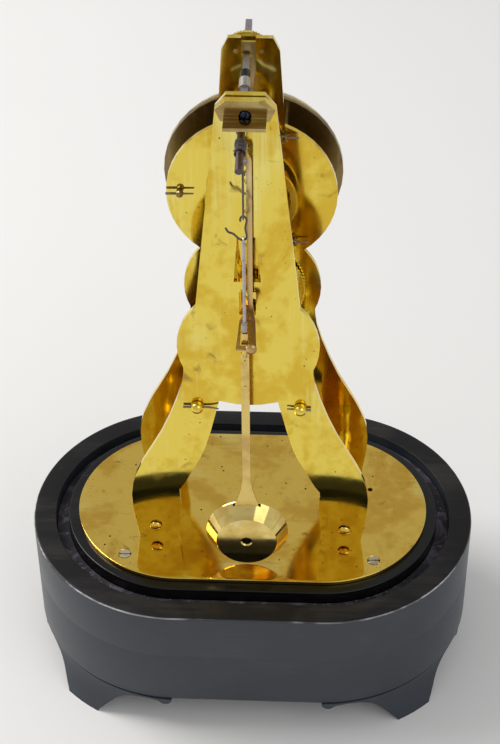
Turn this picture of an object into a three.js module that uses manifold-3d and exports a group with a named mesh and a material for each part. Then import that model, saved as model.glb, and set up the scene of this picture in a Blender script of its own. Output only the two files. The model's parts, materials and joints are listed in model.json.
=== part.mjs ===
// Skeleton clock on an ebonised oval plinth: a small brass movement between two shaped plates,
// with a silk-hung pendulum, a crutch and a slanted regulating arbor behind it.
// Millimetres, +Z up. The origin is the centre of the plinth on the table.
// The dial faces -Y and the pendulum hangs on the +Y side.
import * as THREE from "three";
import { mergeVertices } from "three/addons/utils/BufferGeometryUtils.js";
import Module from "manifold-3d";

const wasm = await Module();
wasm.setup();

// Clearances shared by the whole clock
const fitGap = 0.3;
const pivotGap = 0.15;
const cutOverrun = 1;

// Plinth: an oval with straight sides and half-round ends
const plinthEndRadius = 63.15;
const plinthStraight = 58.7;
const plinthLowerHeight = 26;
const plinthRimHeight = 23;
const landWidth = 9.4;
const grooveWidth = 5.4;
const grooveDepth = 4.5;
const liningThickness = 0.6;
const stepWidth = 4.4;
const stepRise = 1.1;

// Bracket feet
const footHeight = 16;
const footLedge = 1.1;
const footFlare = 4.2;
const footWall = 8;

// Brass base plate and its screws. Screws and bench hole are set in from the round edge,
// at an angle from the long axis.
const basePlateThickness = 1.6;
const baseScrewInset = 6.14;
const baseScrewAngle = 0.961;
const baseScrewHeadRadius = 2.4;
const baseScrewShank = 1.2;
const baseScrewLength = 9;
const slotWidth = 0.7;
const slotDepth = 0.6;
const countersink = 1.2;
const benchHoleInset = 20.9;
const benchHoleAngle = 0.478;
const benchHoleRadius = 1.1;

// Movement plates
const plateThickness = 2.2;
const plateSpace = 36.2;
const legSpread = 48;
const legHeight = 89.3;
const lobeRadius = 27;
const dialLobeInset = 2;
const backNeckLow = 19;
const backNeckHigh = 10.5;
const backNeckTop = 6.7;
const frontNeckLow = 15.6;
const frontNeckHigh = 10.5;
const frontNeckTop = 8.1;
const neckChamfer = 5;
const neckSink = 5;
const windowHeight = 20.1;
const windowTopWidth = 7.2;
const windowFootWidth = 10;
const windowAbove = 7.5;
const lensSlotWidth = 6.2;
const lensSlotHeight = 10.5;
const lensSlotBelow = 7.3;
const headSlotX = 0.7;
const headSlotWidth = 5.2;
const headSlotDepth = 15;
const headSlotFootWidth = 7.8;
const headSlotFootDepth = 11;
const oilSinkDepth = 0.35;
const oilSinkRadius = 2.3;

// Rises between the arbors. The train grows smaller upwards, so the distances above the first
// are shares of it.
const barrelRise = 12.6;
const lensDistance = 23.1;
const distanceShares = { centre: 0.887446, third: 0.813853, escape: 0.549784 };
const palletDistance = 12.5;
const regulatorRise = 10.7;
const headRise = 11.8;

// Gear train: teeth from the barrel to the escape wheel
const greatTeeth = 80;
const lensPinionTeeth = 10;
const lensTeeth = 70;
const centrePinionTeeth = 10;
const centreTeeth = 96;
const thirdPinionTeeth = 8;
const thirdTeeth = 80;
const escapePinionTeeth = 8;
const escapeTeeth = 36;
const wheelThickness = 1.1;
const pinionLength = 2.8;
const arborRadius = 1.1;
const fineArborRadius = 0.8;
const pivotRadius = 0.6;
const pivotLength = 2;
const hubRadius = 2.2;
const hubLength = 1.6;
const rimWidth = 2.3;
const spokeWidth = 1.5;
const spokeCount = 5;

// Distance of a wheel behind the front plate, before the back plate or before the inner bridge
const greatY = 1.9;
const centreY = 4.7;
const thirdY = 10.2;
const escapePlateDistance = 15.8;
const lensBridgeDistance = 2.8;

// Mainspring barrel
const drumInset = 2.13;
const drumWall = 0.9;
const drumClearance = 4.55;
const coverThickness = 1.1;
const barrelHubRadius = 3.6;
const barrelArborRadius = 2.3;
const barrelPivotRadius = 1.7;
const springSlack = 0.9;
const springInner = 7;
const windingSquare = 2.9;
const windingSquareLength = 15;

// Ratchet work on the front plate
const ratchetTeeth = 24;
const ratchetRadius = 6.6;
const ratchetThickness = 1.3;
const clickWidth = 3.2;
const clickLength = 11;
const clickPivotRadius = 1;
const clickAngle = 0.9;
const clickLift = 1.2;
const clickSpringWidth = 0.7;
const clickHeadRadius = 1.7;
const clickHeadDome = 0.8;
const clickShank = 0.7;

// Escapement
const escapeRadius = 7.5;
const escapeToothHeight = 1.7;
const escapeThickness = 0.8;
const palletLift = 1.4;
const palletWidth = 1.5;
const palletThickness = 2.2;
const palletSpanAngle = 0.88;

// Crutch behind the back plate
const crutchStandoff = 5;
const crutchWidth = 1.9;
const crutchThickness = 1.1;
const crutchOffset = -1.3;
const crutchShoulderHeight = 7.2;
const loopOffset = -0.2;
const loopBackWidth = 5.8;
const loopFrontWidth = 7.5;
const loopReach = 12.1;
const loopFall = 3.9;
const loopRim = 1.3;
const loopBar = 1.5;
const loopClearance = 0.5;
const loopBossRadius = 2.1;
const loopBossDome = 1.3;
const loopBossOffset = -2.1;
const loopBelowBlock = 1.6;

// Pendulum, hung behind the movement
const pendulumX = 0.4;
const pendulumStandoff = 14.2;
const suspensionDrop = 2.2525;
const silkRadius = 0.3;
const silkSpread = 1.8;
const silkFootSpread = 1.35;
const silkDrop = 21.7;
const hookWire = 0.4;
const hookBend = 1.1;
const hookHeight = 10.2;
const hookTail = 6.2;
const hangerRadius = 0.62;
const hangerSeatHeight = 5.2;
const hangerCollarRadius = 0.95;
const hangerCollarHeight = 4.6;
const hangerEye = 1.1;
const blockNeckLength = 2.8;
const blockHeight = 7.1;
const blockWidth = 2.4;
const blockEyeRadius = 0.65;
const blockEyeHeight = 3.8;
const rodLength = 81.9;
const rodWidth = 3.1;
const rodThickness = 0.9;
const blockNeckRadius = 1;
const rodFlareHeight = 18;
const rodFlareWidth = 11;
const rodSeat = 11;
const bobClearance = 1.5;
const bobRadius = 16.5;
const bobBevelWidth = 4.5;
const bobBevelDepth = 6.5;
const bobFrontDepth = 2.4;
const bobRimSetback = 1;
const bobHoleRadius = 1.95;
const rodPinRadius = 0.45;
const rodPinUpperDrop = 3.6;
const rodPinLowerDrop = 16;

// Regulating arbor: rises to the front, with the silk wound on its rear end
const regulatorX = 1.5;
const regulatorFrontReach = 20.2;
const regulatorRearReach = 6;
const regulatorSlope = 0.155;
const regulatorRadius = 1.4;
const regulatorSquare = 2.4;
const regulatorSquareInset = 1.1;
const regulatorCollarRadius = 2.1;
const regulatorCollarLength = 5;
const regulatorSleeveRadius = 1.85;
const regulatorSleeveLength = 4.3;
const regulatorSleeveY = 11.7;
const regulatorWheelRadius = 8.2;
const regulatorWheelTeeth = 44;
const regulatorWheelThickness = 1;
const regulatorWheelStandoff = 4.3;
const bridgeWidth = 11;
const bridgeTopInset = 3;
const bridgeHeight = 27.6;
const bridgeThickness = 1.2;
const bridgeSpigotInset = 2.4;
const windingLoops = 5;
const windingPitch = 1.3;
const windingSetting = 8.6;

// Suspension cock above the arbor
const cockHeight = 7.8;
const cockLegThickness = 3.4;
const cockShelfThickness = 1.4;
const cockShelfDepth = 10;
const cockShelfHalf = 7.4;
const cockTopHalf = 6.9;
const cockWideHalf = 10.4;
const cockCornerHalf = 8.5;
const cockTopInset = 0.5;
const cockShoulderRise = 4.5;
const cockScrewRise = 2.2;
const cockScrewSeat = 1.2;
const cockScrewRadius = 1.87;
const cockScrewDome = 1.3;
const cockScrewShank = 1;

// Pillars, their domed ends and their pins
const pillarPlaceShares = [0.416667, 0.81075];
const pillarRadius = 2.6;
const pillarWaist = 1.9;
const spigotRadius = 1.5;
const pillarDomeRadius = 2.5;
const pillarDomeHeight = 3.4;
const pillarPinSetting = 0.9;
const pinRadius = 0.5;
const pinTaper = 0.3;
const pillarPins = [{ length: 13.8, shift: -1.5 }, { length: 9.2, shift: 0.5 }];
const footPillarShare = 0.808333;
const footPillarZ = 6.2;
const footPillarEnd = 3;
const footPillarWaist = 1.8;
const footPillarKnop = 2.7;
const pedestalRadius = 2.2;
const legScrewRadius = 2.5;
const legScrewDome = 1.5;
const legScrewShank = 1;
const legScrewLength = 6;
const footStudRadius = 1.2;

// Inner bridge for the rear pivots of the two slow arbors
const innerBridgeWidth = 8;
const innerBridgeThickness = 2;
const innerBridgeStandoff = 3.4;
const innerBridgeLowerReach = 15;
const innerBridgeUpperReach = 14;
const innerBridgePad = 4.4;
const bridgeSpigotRadius = 0.9;
const bridgeSpigotSetback = 0.9;

// Dial, bezel and hands
const dialStandoff = 13.6;
const dialRadius = 34.5;
const dialBackThickness = 1.6;
const enamelInset = 2.1;
const enamelThickness = 1.1;
const dialHoleRadius = 3.4;
const bezelWidth = 2.6;
const bezelDepth = 2.6;
const dialFootRadius = 1;
const dialFootBall = 1.65;
const dialPinLength = 10.6;
const handGap = 1.1;
const handThickness = 0.5;
const handLengthShares = { minute: 0.8642, hour: 0.5864 };
const handHubRadius = 2.4;

// Motion work between the front plate and the dial
const motionDistance = 11;
const cannonTeeth = 12;
const minuteWheelTeeth = 36;
const minutePinionTeeth = 10;
const hourTeeth = 40;
const motionWheelThickness = 1;
const cannonSetting = 3.2;
const cannonLength = 3.4;
const hourSetting = 7.4;
const hourPipeRadius = 2.5;
const cannonPipeRadius = 1.5;
const motionStudAngle = -1.05;
const studRadius = 0.8;

// Sizes that follow from the ones above
const plinthTurn = plinthStraight / 2;
const plateOffset = landWidth + grooveWidth + stepWidth;
const plateEndRadius = plinthEndRadius - plateOffset;
const landZ = footHeight + plinthLowerHeight + plinthRimHeight;
const grooveZ = landZ - grooveDepth;
const stepZ = landZ + stepRise;
const baseZ = stepZ + fitGap + basePlateThickness;
const backInner = plateSpace / 2;
const backOuter = backInner + plateThickness;
const frontInner = -backInner;
const frontOuter = -backOuter;
const innerBridgeY = backInner - innerBridgeStandoff - innerBridgeThickness;
const dialBackY = frontOuter - dialStandoff;
const dialBallY = frontInner + fitGap + dialFootBall;
const dialLobeRadius = dialRadius - dialLobeInset;
const enamelRadius = dialRadius - enamelInset;

// Heights above the base plate
const barrelZ = legHeight + barrelRise;
const centreDistance = lensDistance * distanceShares.centre;
const thirdDistance = lensDistance * distanceShares.third;
const escapeDistance = lensDistance * distanceShares.escape;
const lensZ = barrelZ + lensDistance;
const centreZ = lensZ + centreDistance;
const thirdZ = centreZ + thirdDistance;
const escapeZ = thirdZ + escapeDistance;
const palletZ = escapeZ + palletDistance;
const regulatorZ = palletZ + regulatorRise;
const frameHeight = regulatorZ + headRise;
const pillarX = legSpread * pillarPlaceShares[0];
const pillarZ = legHeight * pillarPlaceShares[1];
const footPillarX = legSpread * footPillarShare;
const innerBridgeFootZ = lensZ - innerBridgeLowerReach;
const innerBridgeTopZ = centreZ + innerBridgeUpperReach;
const bridgeTopZ = frameHeight - bridgeTopInset;
const bridgeFootZ = bridgeTopZ - bridgeHeight;
const cockFootZ = frameHeight - cockTopInset - cockHeight;
const cockScrewZ = cockFootZ + cockScrewRise;

// Pitch radii of the wheels
const [greatRadius, lensPinionRadius] = mesh(lensDistance, greatTeeth, lensPinionTeeth);
const [lensRadius, centrePinionRadius] = mesh(centreDistance, lensTeeth, centrePinionTeeth);
const [centreRadius, thirdPinionRadius] = mesh(thirdDistance, centreTeeth, thirdPinionTeeth);
const [thirdRadius, escapePinionRadius] = mesh(escapeDistance, thirdTeeth, escapePinionTeeth);
const [cannonRadius, minuteWheelRadius] = mesh(motionDistance, cannonTeeth, minuteWheelTeeth);
const [minutePinionRadius, hourRadius] = mesh(motionDistance, minutePinionTeeth, hourTeeth);
const drumRadius = greatRadius - drumInset;
const springOuter = drumRadius - drumWall - springSlack;

// Places of the wheels along the arbors, from the inner face of the front plate
const escapeY = plateSpace - escapePlateDistance;
const lensY = innerBridgeY - frontInner - lensBridgeDistance;
const drumDepth = lensY - greatY - wheelThickness / 2 - drumClearance;

// Pendulum, from its foot upwards, and what reaches it
const pendulumY = backOuter + pendulumStandoff;
const bobZ = bobRadius + bobClearance;
const bobFaceRadius = bobRadius - bobBevelWidth;
const rodFootZ = bobZ + rodSeat;
const rodFlareZ = rodFootZ + rodFlareHeight;
const rodTopZ = rodFootZ + rodLength;
const blockZ = rodTopZ + blockNeckLength;
const hangerFootZ = blockZ + hangerSeatHeight;
const blockTopZ = blockZ + blockHeight;
const loopZ = blockTopZ - loopBelowBlock;
const suspensionZ = regulatorAt(pendulumY) - suspensionDrop;
const silkFootZ = suspensionZ - silkDrop;
const regulatorRear = pendulumY + regulatorRearReach;
const regulatorFront = -backOuter - regulatorFrontReach;
const windingLength = windingLoops * windingPitch;

// Finishes, as read from the object
const brass = material(0xd6b848, 0.24, 1);
const brassWarm = material(0xbe9646, 0.26, 1);
const brassPale = material(0xd8c078, 0.28, 1);
const steel = material(0x69646a, 0.35, 1);
const blueSteel = material(0x20222e, 0.3, 1);
const ebonised = material(0x34383e, 0.42, 0);
const gloss = material(0x17181b, 0.2, 0);
const velvet = material(0x2a2028, 0.95, 0);
const enamel = material(0xf0eee4, 0.15, 0);
const silk = material(0x3a3634, 0.6, 0);

function material(color, roughness, metalness) {
  return new THREE.MeshStandardMaterial({ color, roughness, metalness });
}

// Solids: joining and cutting

function toSolid(geometry) {
  const bare = geometry.clone();
  bare.deleteAttribute("normal");
  bare.deleteAttribute("uv");
  const merged = mergeVertices(bare);
  return new wasm.Manifold(new wasm.Mesh({
    numProp: 3,
    vertProperties: new Float32Array(merged.attributes.position.array),
    triVerts: new Uint32Array(merged.index.array),
  }));
}

function toGeometry(solid) {
  const mesh = solid.getMesh();
  const geometry = new THREE.BufferGeometry();
  geometry.setAttribute("position", new THREE.BufferAttribute(mesh.vertProperties, mesh.numProp));
  geometry.setIndex(new THREE.BufferAttribute(mesh.triVerts, 1));
  geometry.computeVertexNormals();
  return geometry;
}

function join(...geometries) {
  return toGeometry(geometries.map(toSolid).reduce((whole, solid) => whole.add(solid)));
}

function cut(geometry, ...tools) {
  return toGeometry(tools.map(toSolid).reduce((rest, tool) => rest.subtract(tool), toSolid(geometry)));
}

// Shapes: every solid of revolution or of constant section is made by one of these

function turned(points, sides = 24) {
  return new THREE.LatheGeometry(points.map(([r, y]) => new THREE.Vector2(r, y)), sides);
}

function turnedZ(points, sides = 24) {
  return turned(points, sides).rotateX(Math.PI / 2);
}

function rod(radius, from, to, sides = 12) {
  return turned([[0, from], [radius, from], [radius, to], [0, to]], sides);
}

function pipe(inner, outer, from, to, sides = 24) {
  return turned([[inner, from], [outer, from], [outer, to], [inner, to], [inner, from]], sides);
}

function rodZ(radius, from, to, sides = 12) {
  return rod(radius, from, to, sides).rotateX(Math.PI / 2);
}

function bar(width, depth, height) {
  return new THREE.BoxGeometry(width, depth, height);
}

function outline(points) {
  return new THREE.Shape(points.map(([x, y]) => new THREE.Vector2(x, y)));
}

function mirrored(half) {
  const other = half.filter(([x]) => x > 0).map(([x, y]) => [-x, y]).reverse();
  return outline([...half, ...other]);
}

// A flat piece with its outline in X and Z, from one Y to another
function upright(shape, from, to) {
  const geometry = new THREE.ExtrudeGeometry(shape, { depth: to - from, bevelEnabled: false });
  return geometry.rotateX(Math.PI / 2).translate(0, to, 0);
}

// A flat piece with its outline in X and Y, from one height to another
function level(shape, from, to) {
  const geometry = new THREE.ExtrudeGeometry(shape, {
    depth: to - from, bevelEnabled: false, curveSegments: 11,
  });
  return geometry.translate(0, 0, from);
}

function smooth(points, steps) {
  const curve = new THREE.SplineCurve(points.map(([x, y]) => new THREE.Vector2(x, y)));
  return curve.getPoints(steps).map((p) => [p.x, p.y]);
}

function wire(points, radius, steps, sides = 8) {
  const path = new THREE.CatmullRomCurve3(points.map(([x, y, z]) => new THREE.Vector3(x, y, z)));
  const section = new THREE.Shape();
  section.absarc(0, 0, radius, 0, 2 * Math.PI);
  return new THREE.ExtrudeGeometry(section, {
    extrudePath: path, steps, bevelEnabled: false, curveSegments: sides / 2,
  });
}

const crownShares = [[0.97, 0.35], [0.8, 0.72], [0.5, 0.92]];

function domed(radius, height) {
  const crown = [[radius, 0], [radius * crownShares[0][0], height * crownShares[0][1]]];
  const top = crownShares.slice(1).map(([r, h]) => [radius * r, height * h]);
  return [...crown, ...top, [0, height]];
}

// A slotted, domed screw along Y: its head is on the +Y side of the seat
function domedScrew(radius, dome, shank, length) {
  const head = turned([[0, -length], [shank, -length], [shank, 0], ...domed(radius, dome)], 12);
  const slot = bar(2 * radius + cutOverrun, 2 * slotDepth, slotWidth).translate(0, dome, 0);
  return cut(head, slot);
}

// A tapered pin along X
function taperPin(length) {
  return turned([[0, -length / 2], [pinRadius, -length / 2], [pinTaper, length / 2], [0, length / 2]], 10)
    .rotateZ(Math.PI / 2);
}

function named(name, geometry, finish, place = [0, 0, 0]) {
  const mesh = new THREE.Mesh(geometry, finish);
  mesh.name = name;
  mesh.position.set(...place);
  return mesh;
}

function group(place, ...children) {
  const set = new THREE.Group();
  set.position.set(...place);
  set.add(...children);
  return set;
}

// Plinth

function oval(inset) {
  const radius = plinthEndRadius - inset;
  const shape = new THREE.Shape();
  shape.absarc(plinthTurn, 0, radius, -Math.PI / 2, Math.PI / 2);
  shape.absarc(-plinthTurn, 0, radius, Math.PI / 2, 3 * Math.PI / 2);
  shape.closePath();
  return shape;
}

function ovalRing(outerInset, innerInset) {
  const shape = oval(outerInset);
  shape.holes.push(oval(innerInset));
  return shape;
}

function plinth() {
  const seamZ = footHeight + plinthLowerHeight;
  const lower = level(oval(0), footHeight, seamZ - fitGap);
  const rim = level(ovalRing(0, landWidth), seamZ, landZ);
  const liningZ = grooveZ - liningThickness;
  const core = level(oval(landWidth + fitGap), seamZ, liningZ - fitGap);
  const table = level(oval(landWidth + grooveWidth), liningZ - 2 * fitGap, stepZ);
  const lining = level(
    ovalRing(landWidth + fitGap, landWidth + grooveWidth - fitGap), liningZ, grooveZ,
  );
  const screwHoles = baseScrewPlaces().map(([x, y]) =>
    rodZ(baseScrewShank + fitGap, baseZ - baseScrewLength - fitGap, stepZ + cutOverrun).translate(x, y, 0));
  return [
    named("plinth_lower", lower, ebonised),
    named("plinth_rim", rim, ebonised),
    named("plinth_core", cut(join(core, table), ...screwHoles), gloss),
    named("groove_lining", lining, velvet),
  ];
}

// Each foot is a bracket that follows the round end. Its lower edge is given by turns of the angle
// from the long axis and by shares of the foot's height.
const footEdgeShares = [
  [0.178, 0.94], [0.192, 0.84], [0.208, 0.82], [0.222, 0.85], [0.24, 0.92], [0.3, 0.95],
  [0.35, 0.9], [0.39, 0.8], [0.43, 0.6], [0.46, 0.38], [0.485, 0.14], [0.5, 0],
  [0.58, 0], [0.66, 0], [0.675, 0.14], [0.7, 0.38], [0.73, 0.6], [0.77, 0.8], [0.81, 0.9],
  [0.86, 0.95], [0.92, 0.92], [0.938, 0.85], [0.952, 0.82], [0.968, 0.84], [0.982, 0.94],
];

function footGeometry() {
  const crown = plinthEndRadius + footLedge;
  const inner = plinthEndRadius - footWall;
  const stations = footEdgeShares.map(([turn, low]) => {
    const angle = turn * Math.PI / 2;
    const lowZ = low * footHeight;
    const reach = plinthEndRadius + footLedge + (1 - low) * (footFlare - footLedge);
    return [[inner, footHeight - fitGap], [crown, footHeight - fitGap], [reach, lowZ], [inner, lowZ]]
      .map(([r, z]) => [plinthTurn + r * Math.cos(angle), r * Math.sin(angle), z]);
  });
  return loft(stations);
}

// Joins a row of four-cornered sections into one closed body
function loft(stations) {
  const corners = stations[0].length;
  const faces = [];
  for (let i = 0; i + 1 < stations.length; i += 1) {
    for (let j = 0; j < corners; j += 1) {
      const a = i * corners + j;
      const b = i * corners + (j + 1) % corners;
      faces.push(a, b, b + corners, a, b + corners, a + corners);
    }
  }
  const last = (stations.length - 1) * corners;
  for (let j = 1; j + 1 < corners; j += 1) {
    faces.push(0, j + 1, j, last, last + j, last + j + 1);
  }
  const geometry = new THREE.BufferGeometry();
  geometry.setAttribute("position", new THREE.Float32BufferAttribute(stations.flat(2), 3));
  geometry.setIndex(faces);
  geometry.computeVertexNormals();
  return geometry;
}

function flipped(geometry) {
  const index = geometry.index.array;
  for (let i = 0; i < index.length; i += 3) {
    [index[i + 1], index[i + 2]] = [index[i + 2], index[i + 1]];
  }
  geometry.computeVertexNormals();
  return geometry;
}

function feet() {
  const corners = [
    [1, 1, "rear_left"], [-1, 1, "rear_right"], [1, -1, "front_left"], [-1, -1, "front_right"],
  ];
  return corners.map(([sx, sy, place]) => {
    const geometry = footGeometry().scale(sx, sy, 1);
    return named(`foot_${place}`, sx * sy > 0 ? geometry : flipped(geometry), ebonised);
  });
}

// Base plate

function roundedPlace(inset, angle) {
  const reach = plateEndRadius - inset;
  return [plinthTurn + reach * Math.cos(angle), reach * Math.sin(angle)];
}

function baseScrewPlaces() {
  const [x, y] = roundedPlace(baseScrewInset, baseScrewAngle);
  return [[x, y], [-x, y]];
}

function basePlate() {
  const sheet = level(oval(plateOffset), baseZ - basePlateThickness, baseZ);
  const sinks = baseScrewPlaces().map(([x, y]) => turnedZ([
    [0, -basePlateThickness - cutOverrun], [baseScrewShank + fitGap, -basePlateThickness - cutOverrun],
    [baseScrewShank + fitGap, -countersink], [baseScrewHeadRadius + fitGap, 0],
    [baseScrewHeadRadius + fitGap, cutOverrun], [0, cutOverrun],
  ]).translate(x, y, baseZ));
  const studHoles = sideBySide(footPillarX).map((x) =>
    rodZ(footStudRadius + pivotGap, -basePlateThickness - cutOverrun, cutOverrun).translate(x, 0, baseZ));
  const [benchX, benchY] = roundedPlace(benchHoleInset, benchHoleAngle);
  const bench = rodZ(benchHoleRadius, -basePlateThickness - cutOverrun, cutOverrun)
    .translate(-benchX, -benchY, baseZ);
  return named("base_plate", cut(sheet, ...sinks, ...studHoles, bench), brassWarm);
}

function baseScrews() {
  const shape = turnedZ([
    [0, -baseScrewLength], [baseScrewShank, -baseScrewLength + baseScrewShank],
    [baseScrewShank, -countersink], [baseScrewHeadRadius, 0], [0, 0],
  ]);
  const slot = bar(2 * baseScrewHeadRadius + cutOverrun, slotWidth, 2 * slotDepth);
  const screw = cut(shape, slot);
  return baseScrewPlaces().map(([x, y]) =>
    named(`base_screw_${sideName(x)}`, screw.clone(), steel, [x, y, baseZ]));
}

// Movement plates. Heights here are above the base plate.

const legOuterShares = [
  [0.952, 0], [0.979, 0.112], [1, 0.224], [0.985, 0.325], [0.958, 0.381], [0.915, 0.437],
  [0.879, 0.482], [0.819, 0.543], [0.708, 0.661], [0.617, 0.786], [0.542, 0.913], [0.517, 1],
];
const legInnerShares = [
  [0.592, 0.302], [0.5375, 0.349], [0.446, 0.4535], [0.385, 0.526], [0.331, 0.6215],
  [0.265, 0.773], [0.2375, 0.84],
];
const legFootShares = [[0.615, 0], [0.585, 0.2016]];
const archShares = [[0.1, 0.823], [0, 0.82]];

function legs(y0, y1) {
  const size = ([x, z]) => [x * legSpread, z * legHeight];
  const outer = smooth(legOuterShares.map(size), 14);
  const inner = smooth(legInnerShares.map(size), 7).reverse();
  const arch = archShares.map(size).reverse();
  const half = [...outer, [outer.at(-1)[0], barrelZ], [0, barrelZ]];
  const lower = [...arch, ...inner, ...legFootShares.map(size).reverse()];
  const right = [...lower, ...half];
  const ring = right.filter(([x]) => x > 0);
  const left = ring.map(([x, z]) => [-x, z]).reverse();
  const bottom = [0, archShares[1][1] * legHeight];
  return upright(outline([bottom, ...ring, ...left]), y0, y1);
}

// The neck keeps its slope down into the lobe below it.
function neck(footHalf, shoulderHalf, topHalf, y0, y1) {
  const shoulderZ = frameHeight - neckChamfer;
  const spread = (footHalf - shoulderHalf) * neckSink / (shoulderZ - lensZ);
  return upright(mirrored([
    [footHalf + spread, lensZ - neckSink], [shoulderHalf, shoulderZ], [topHalf, frameHeight],
  ]), y0, y1);
}

function disc(radius, z, y0, y1, sides = 44) {
  return rod(radius, y0, y1, sides).translate(0, 0, z);
}

function bore(radius, x, z, y0, y1, sides = 10) {
  return rod(radius, y0 - cutOverrun, y1 + cutOverrun, sides).translate(x, 0, z);
}

function sideBySide(x) {
  return [x, -x];
}

function sideName(x) {
  return x > 0 ? "left" : "right";
}

function plateHoles(y0, y1) {
  return [
    ...sideBySide(footPillarX).map((x) => bore(legScrewShank + fitGap, x, footPillarZ, y0, y1)),
    ...sideBySide(pillarX).map((x) => bore(spigotRadius + pivotGap, x, pillarZ, y0, y1)),
    bore(pivotRadius + pivotGap, 0, thirdZ, y0, y1),
    bore(pivotRadius + pivotGap, 0, escapeZ, y0, y1),
  ];
}

function sink(z, face, radius) {
  const depth = Math.sign(face) * oilSinkDepth;
  const low = Math.min(face - depth, face + Math.sign(face) * cutOverrun);
  const high = Math.max(face - depth, face + Math.sign(face) * cutOverrun);
  return rod(radius, low, high, 24).translate(0, 0, z);
}

function backPlate() {
  const y0 = backInner;
  const y1 = backOuter;
  const body = join(
    legs(y0, y1), disc(lobeRadius, barrelZ, y0, y1), neck(backNeckLow, backNeckHigh, backNeckTop, y0, y1),
  );
  const windowTop = centreZ + windowAbove;
  const windowShape = mirrored([
    [windowFootWidth / 2, windowTop - windowHeight], [windowTopWidth / 2, windowTop],
  ]);
  const slotZ = lensZ - lensSlotBelow;
  const windows = [
    upright(windowShape, y0 - cutOverrun, y1 + cutOverrun),
    bar(lensSlotWidth, plateThickness + 2 * cutOverrun, lensSlotHeight)
      .translate(0, (y0 + y1) / 2, slotZ + lensSlotHeight / 2),
  ];
  const cockBores = [bore(cockScrewShank + fitGap, 0, cockScrewZ, y0, y1)];
  const spigotBores = innerSpigotHeights().map((z) =>
    rod(bridgeSpigotRadius + pivotGap, y0 - cutOverrun, y1 - bridgeSpigotSetback + fitGap, 12)
      .translate(0, 0, z));
  return named("back_plate", cut(
    body, ...windows, ...plateHoles(y0, y1), ...cockBores, ...spigotBores,
    bore(barrelPivotRadius + pivotGap, 0, barrelZ, y0, y1, 16),
    bore(fineArborRadius + pivotGap, 0, palletZ, y0, y1),
    bore(regulatorRadius + fitGap + pivotGap, regulatorX, regulatorAt((y0 + y1) / 2), y0, y1),
    sink(barrelZ, y1, oilSinkRadius + fitGap), sink(escapeZ, y1, oilSinkRadius / 2),
    sink(thirdZ, y1, oilSinkRadius / 2),
  ), brass);
}

function frontPlate() {
  const y0 = frontOuter;
  const y1 = frontInner;
  const body = join(
    legs(y0, y1), disc(lobeRadius, barrelZ, y0, y1), disc(dialLobeRadius, centreZ, y0, y1, 48),
    neck(frontNeckLow, frontNeckHigh, frontNeckTop, y0, y1), minuteStud(),
  );
  const head = bar(headSlotWidth, plateThickness + 2 * cutOverrun, headSlotDepth + cutOverrun)
    .translate(headSlotX, (y0 + y1) / 2, frameHeight - (headSlotDepth - cutOverrun) / 2);
  const headFoot = bar(headSlotFootWidth, plateThickness + 2 * cutOverrun, headSlotFootDepth)
    .translate(headSlotX, (y0 + y1) / 2, frameHeight - headSlotDepth - headSlotFootDepth / 2);
  const footHoles = dialFootPlaces().map(([x, z]) => bore(dialFootRadius + pivotGap, x, z, y0, y1));
  const [clickX, clickZ] = clickPlace();
  const [springX, springZ] = clickSpringPlace();
  return named("front_plate", cut(
    body, head, headFoot, ...plateHoles(y0, y1), ...footHoles,
    ...bridgeSpigotPlaces().map(([x, z]) => bore(bridgeSpigotRadius + pivotGap, x, z, y0, y1, 12)),
    bore(barrelPivotRadius + pivotGap, 0, barrelZ, y0, y1, 16),
    bore(pivotRadius + pivotGap, 0, lensZ, y0, y1),
    bore(arborRadius + pivotGap, 0, centreZ, y0, y1),
    bore(clickShank + pivotGap, clickX, clickZ, y0, y1, 12),
    bore(clickShank + pivotGap, springX, springZ, y0, y1, 12),
  ), brass);
}

// Pillars and screws that hold the plates together

const pillarShares = [0.9, 0.84, 0.16];

const pillarDomeShares = [
  [0.94, 0], [1, 0.12], [1, 0.38], [0.9, 0.66], [0.66, 0.87], [0.34, 0.97],
];

function pillars() {
  const inner = backInner - fitGap;
  const seat = backOuter + fitGap;
  const neckR = spigotRadius;
  const profile = [
    [0, frontOuter], [neckR, frontOuter], [neckR, -inner], [pillarRadius, -inner],
    [pillarRadius, -inner * pillarShares[0]], [pillarWaist, -inner * pillarShares[1]],
    [pillarWaist, -inner * pillarShares[2]], [pillarRadius, 0], [pillarWaist, inner * pillarShares[2]],
    [pillarWaist, inner * pillarShares[1]], [pillarRadius, inner * pillarShares[0]], [pillarRadius, inner],
    [neckR, inner], [neckR, seat],
    ...pillarDomeShares.map(([r, h]) => [pillarDomeRadius * r, seat + pillarDomeHeight * h]),
    [0, seat + pillarDomeHeight],
  ];
  const hole = rod(pinRadius + pivotGap, -pillarDomeRadius - cutOverrun, pillarDomeRadius + cutOverrun, 12)
    .rotateZ(Math.PI / 2).translate(0, backOuter + pillarPinSetting, 0);
  const shape = cut(turned(profile, 12), hole);
  return sideBySide(pillarX).map((x) =>
    named(`pillar_${sideName(x)}`, shape.clone(), brass, [x, 0, pillarZ]));
}

// One tapered pin crosses each pillar's domed end, close to the plate, and each dial foot.
function taperPins() {
  const pillarSet = sideBySide(pillarX).map((x, i) => {
    const { length, shift } = pillarPins[i];
    const pin = taperPin(length).rotateY(x > 0 ? 0 : Math.PI);
    return named(`pillar_pin_${sideName(x)}`, pin, steel, [x + shift, backOuter + pillarPinSetting, pillarZ]);
  });
  const dialSet = dialFootPlaces().map(([x, z], i) =>
    named(`dial_pin_${i + 1}`, taperPin(dialPinLength), steel, [x, dialBallY, z]));
  return [...pillarSet, ...dialSet];
}

const footPillarShares = [0.88, 0.72, 0.2, 0.08];

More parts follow.
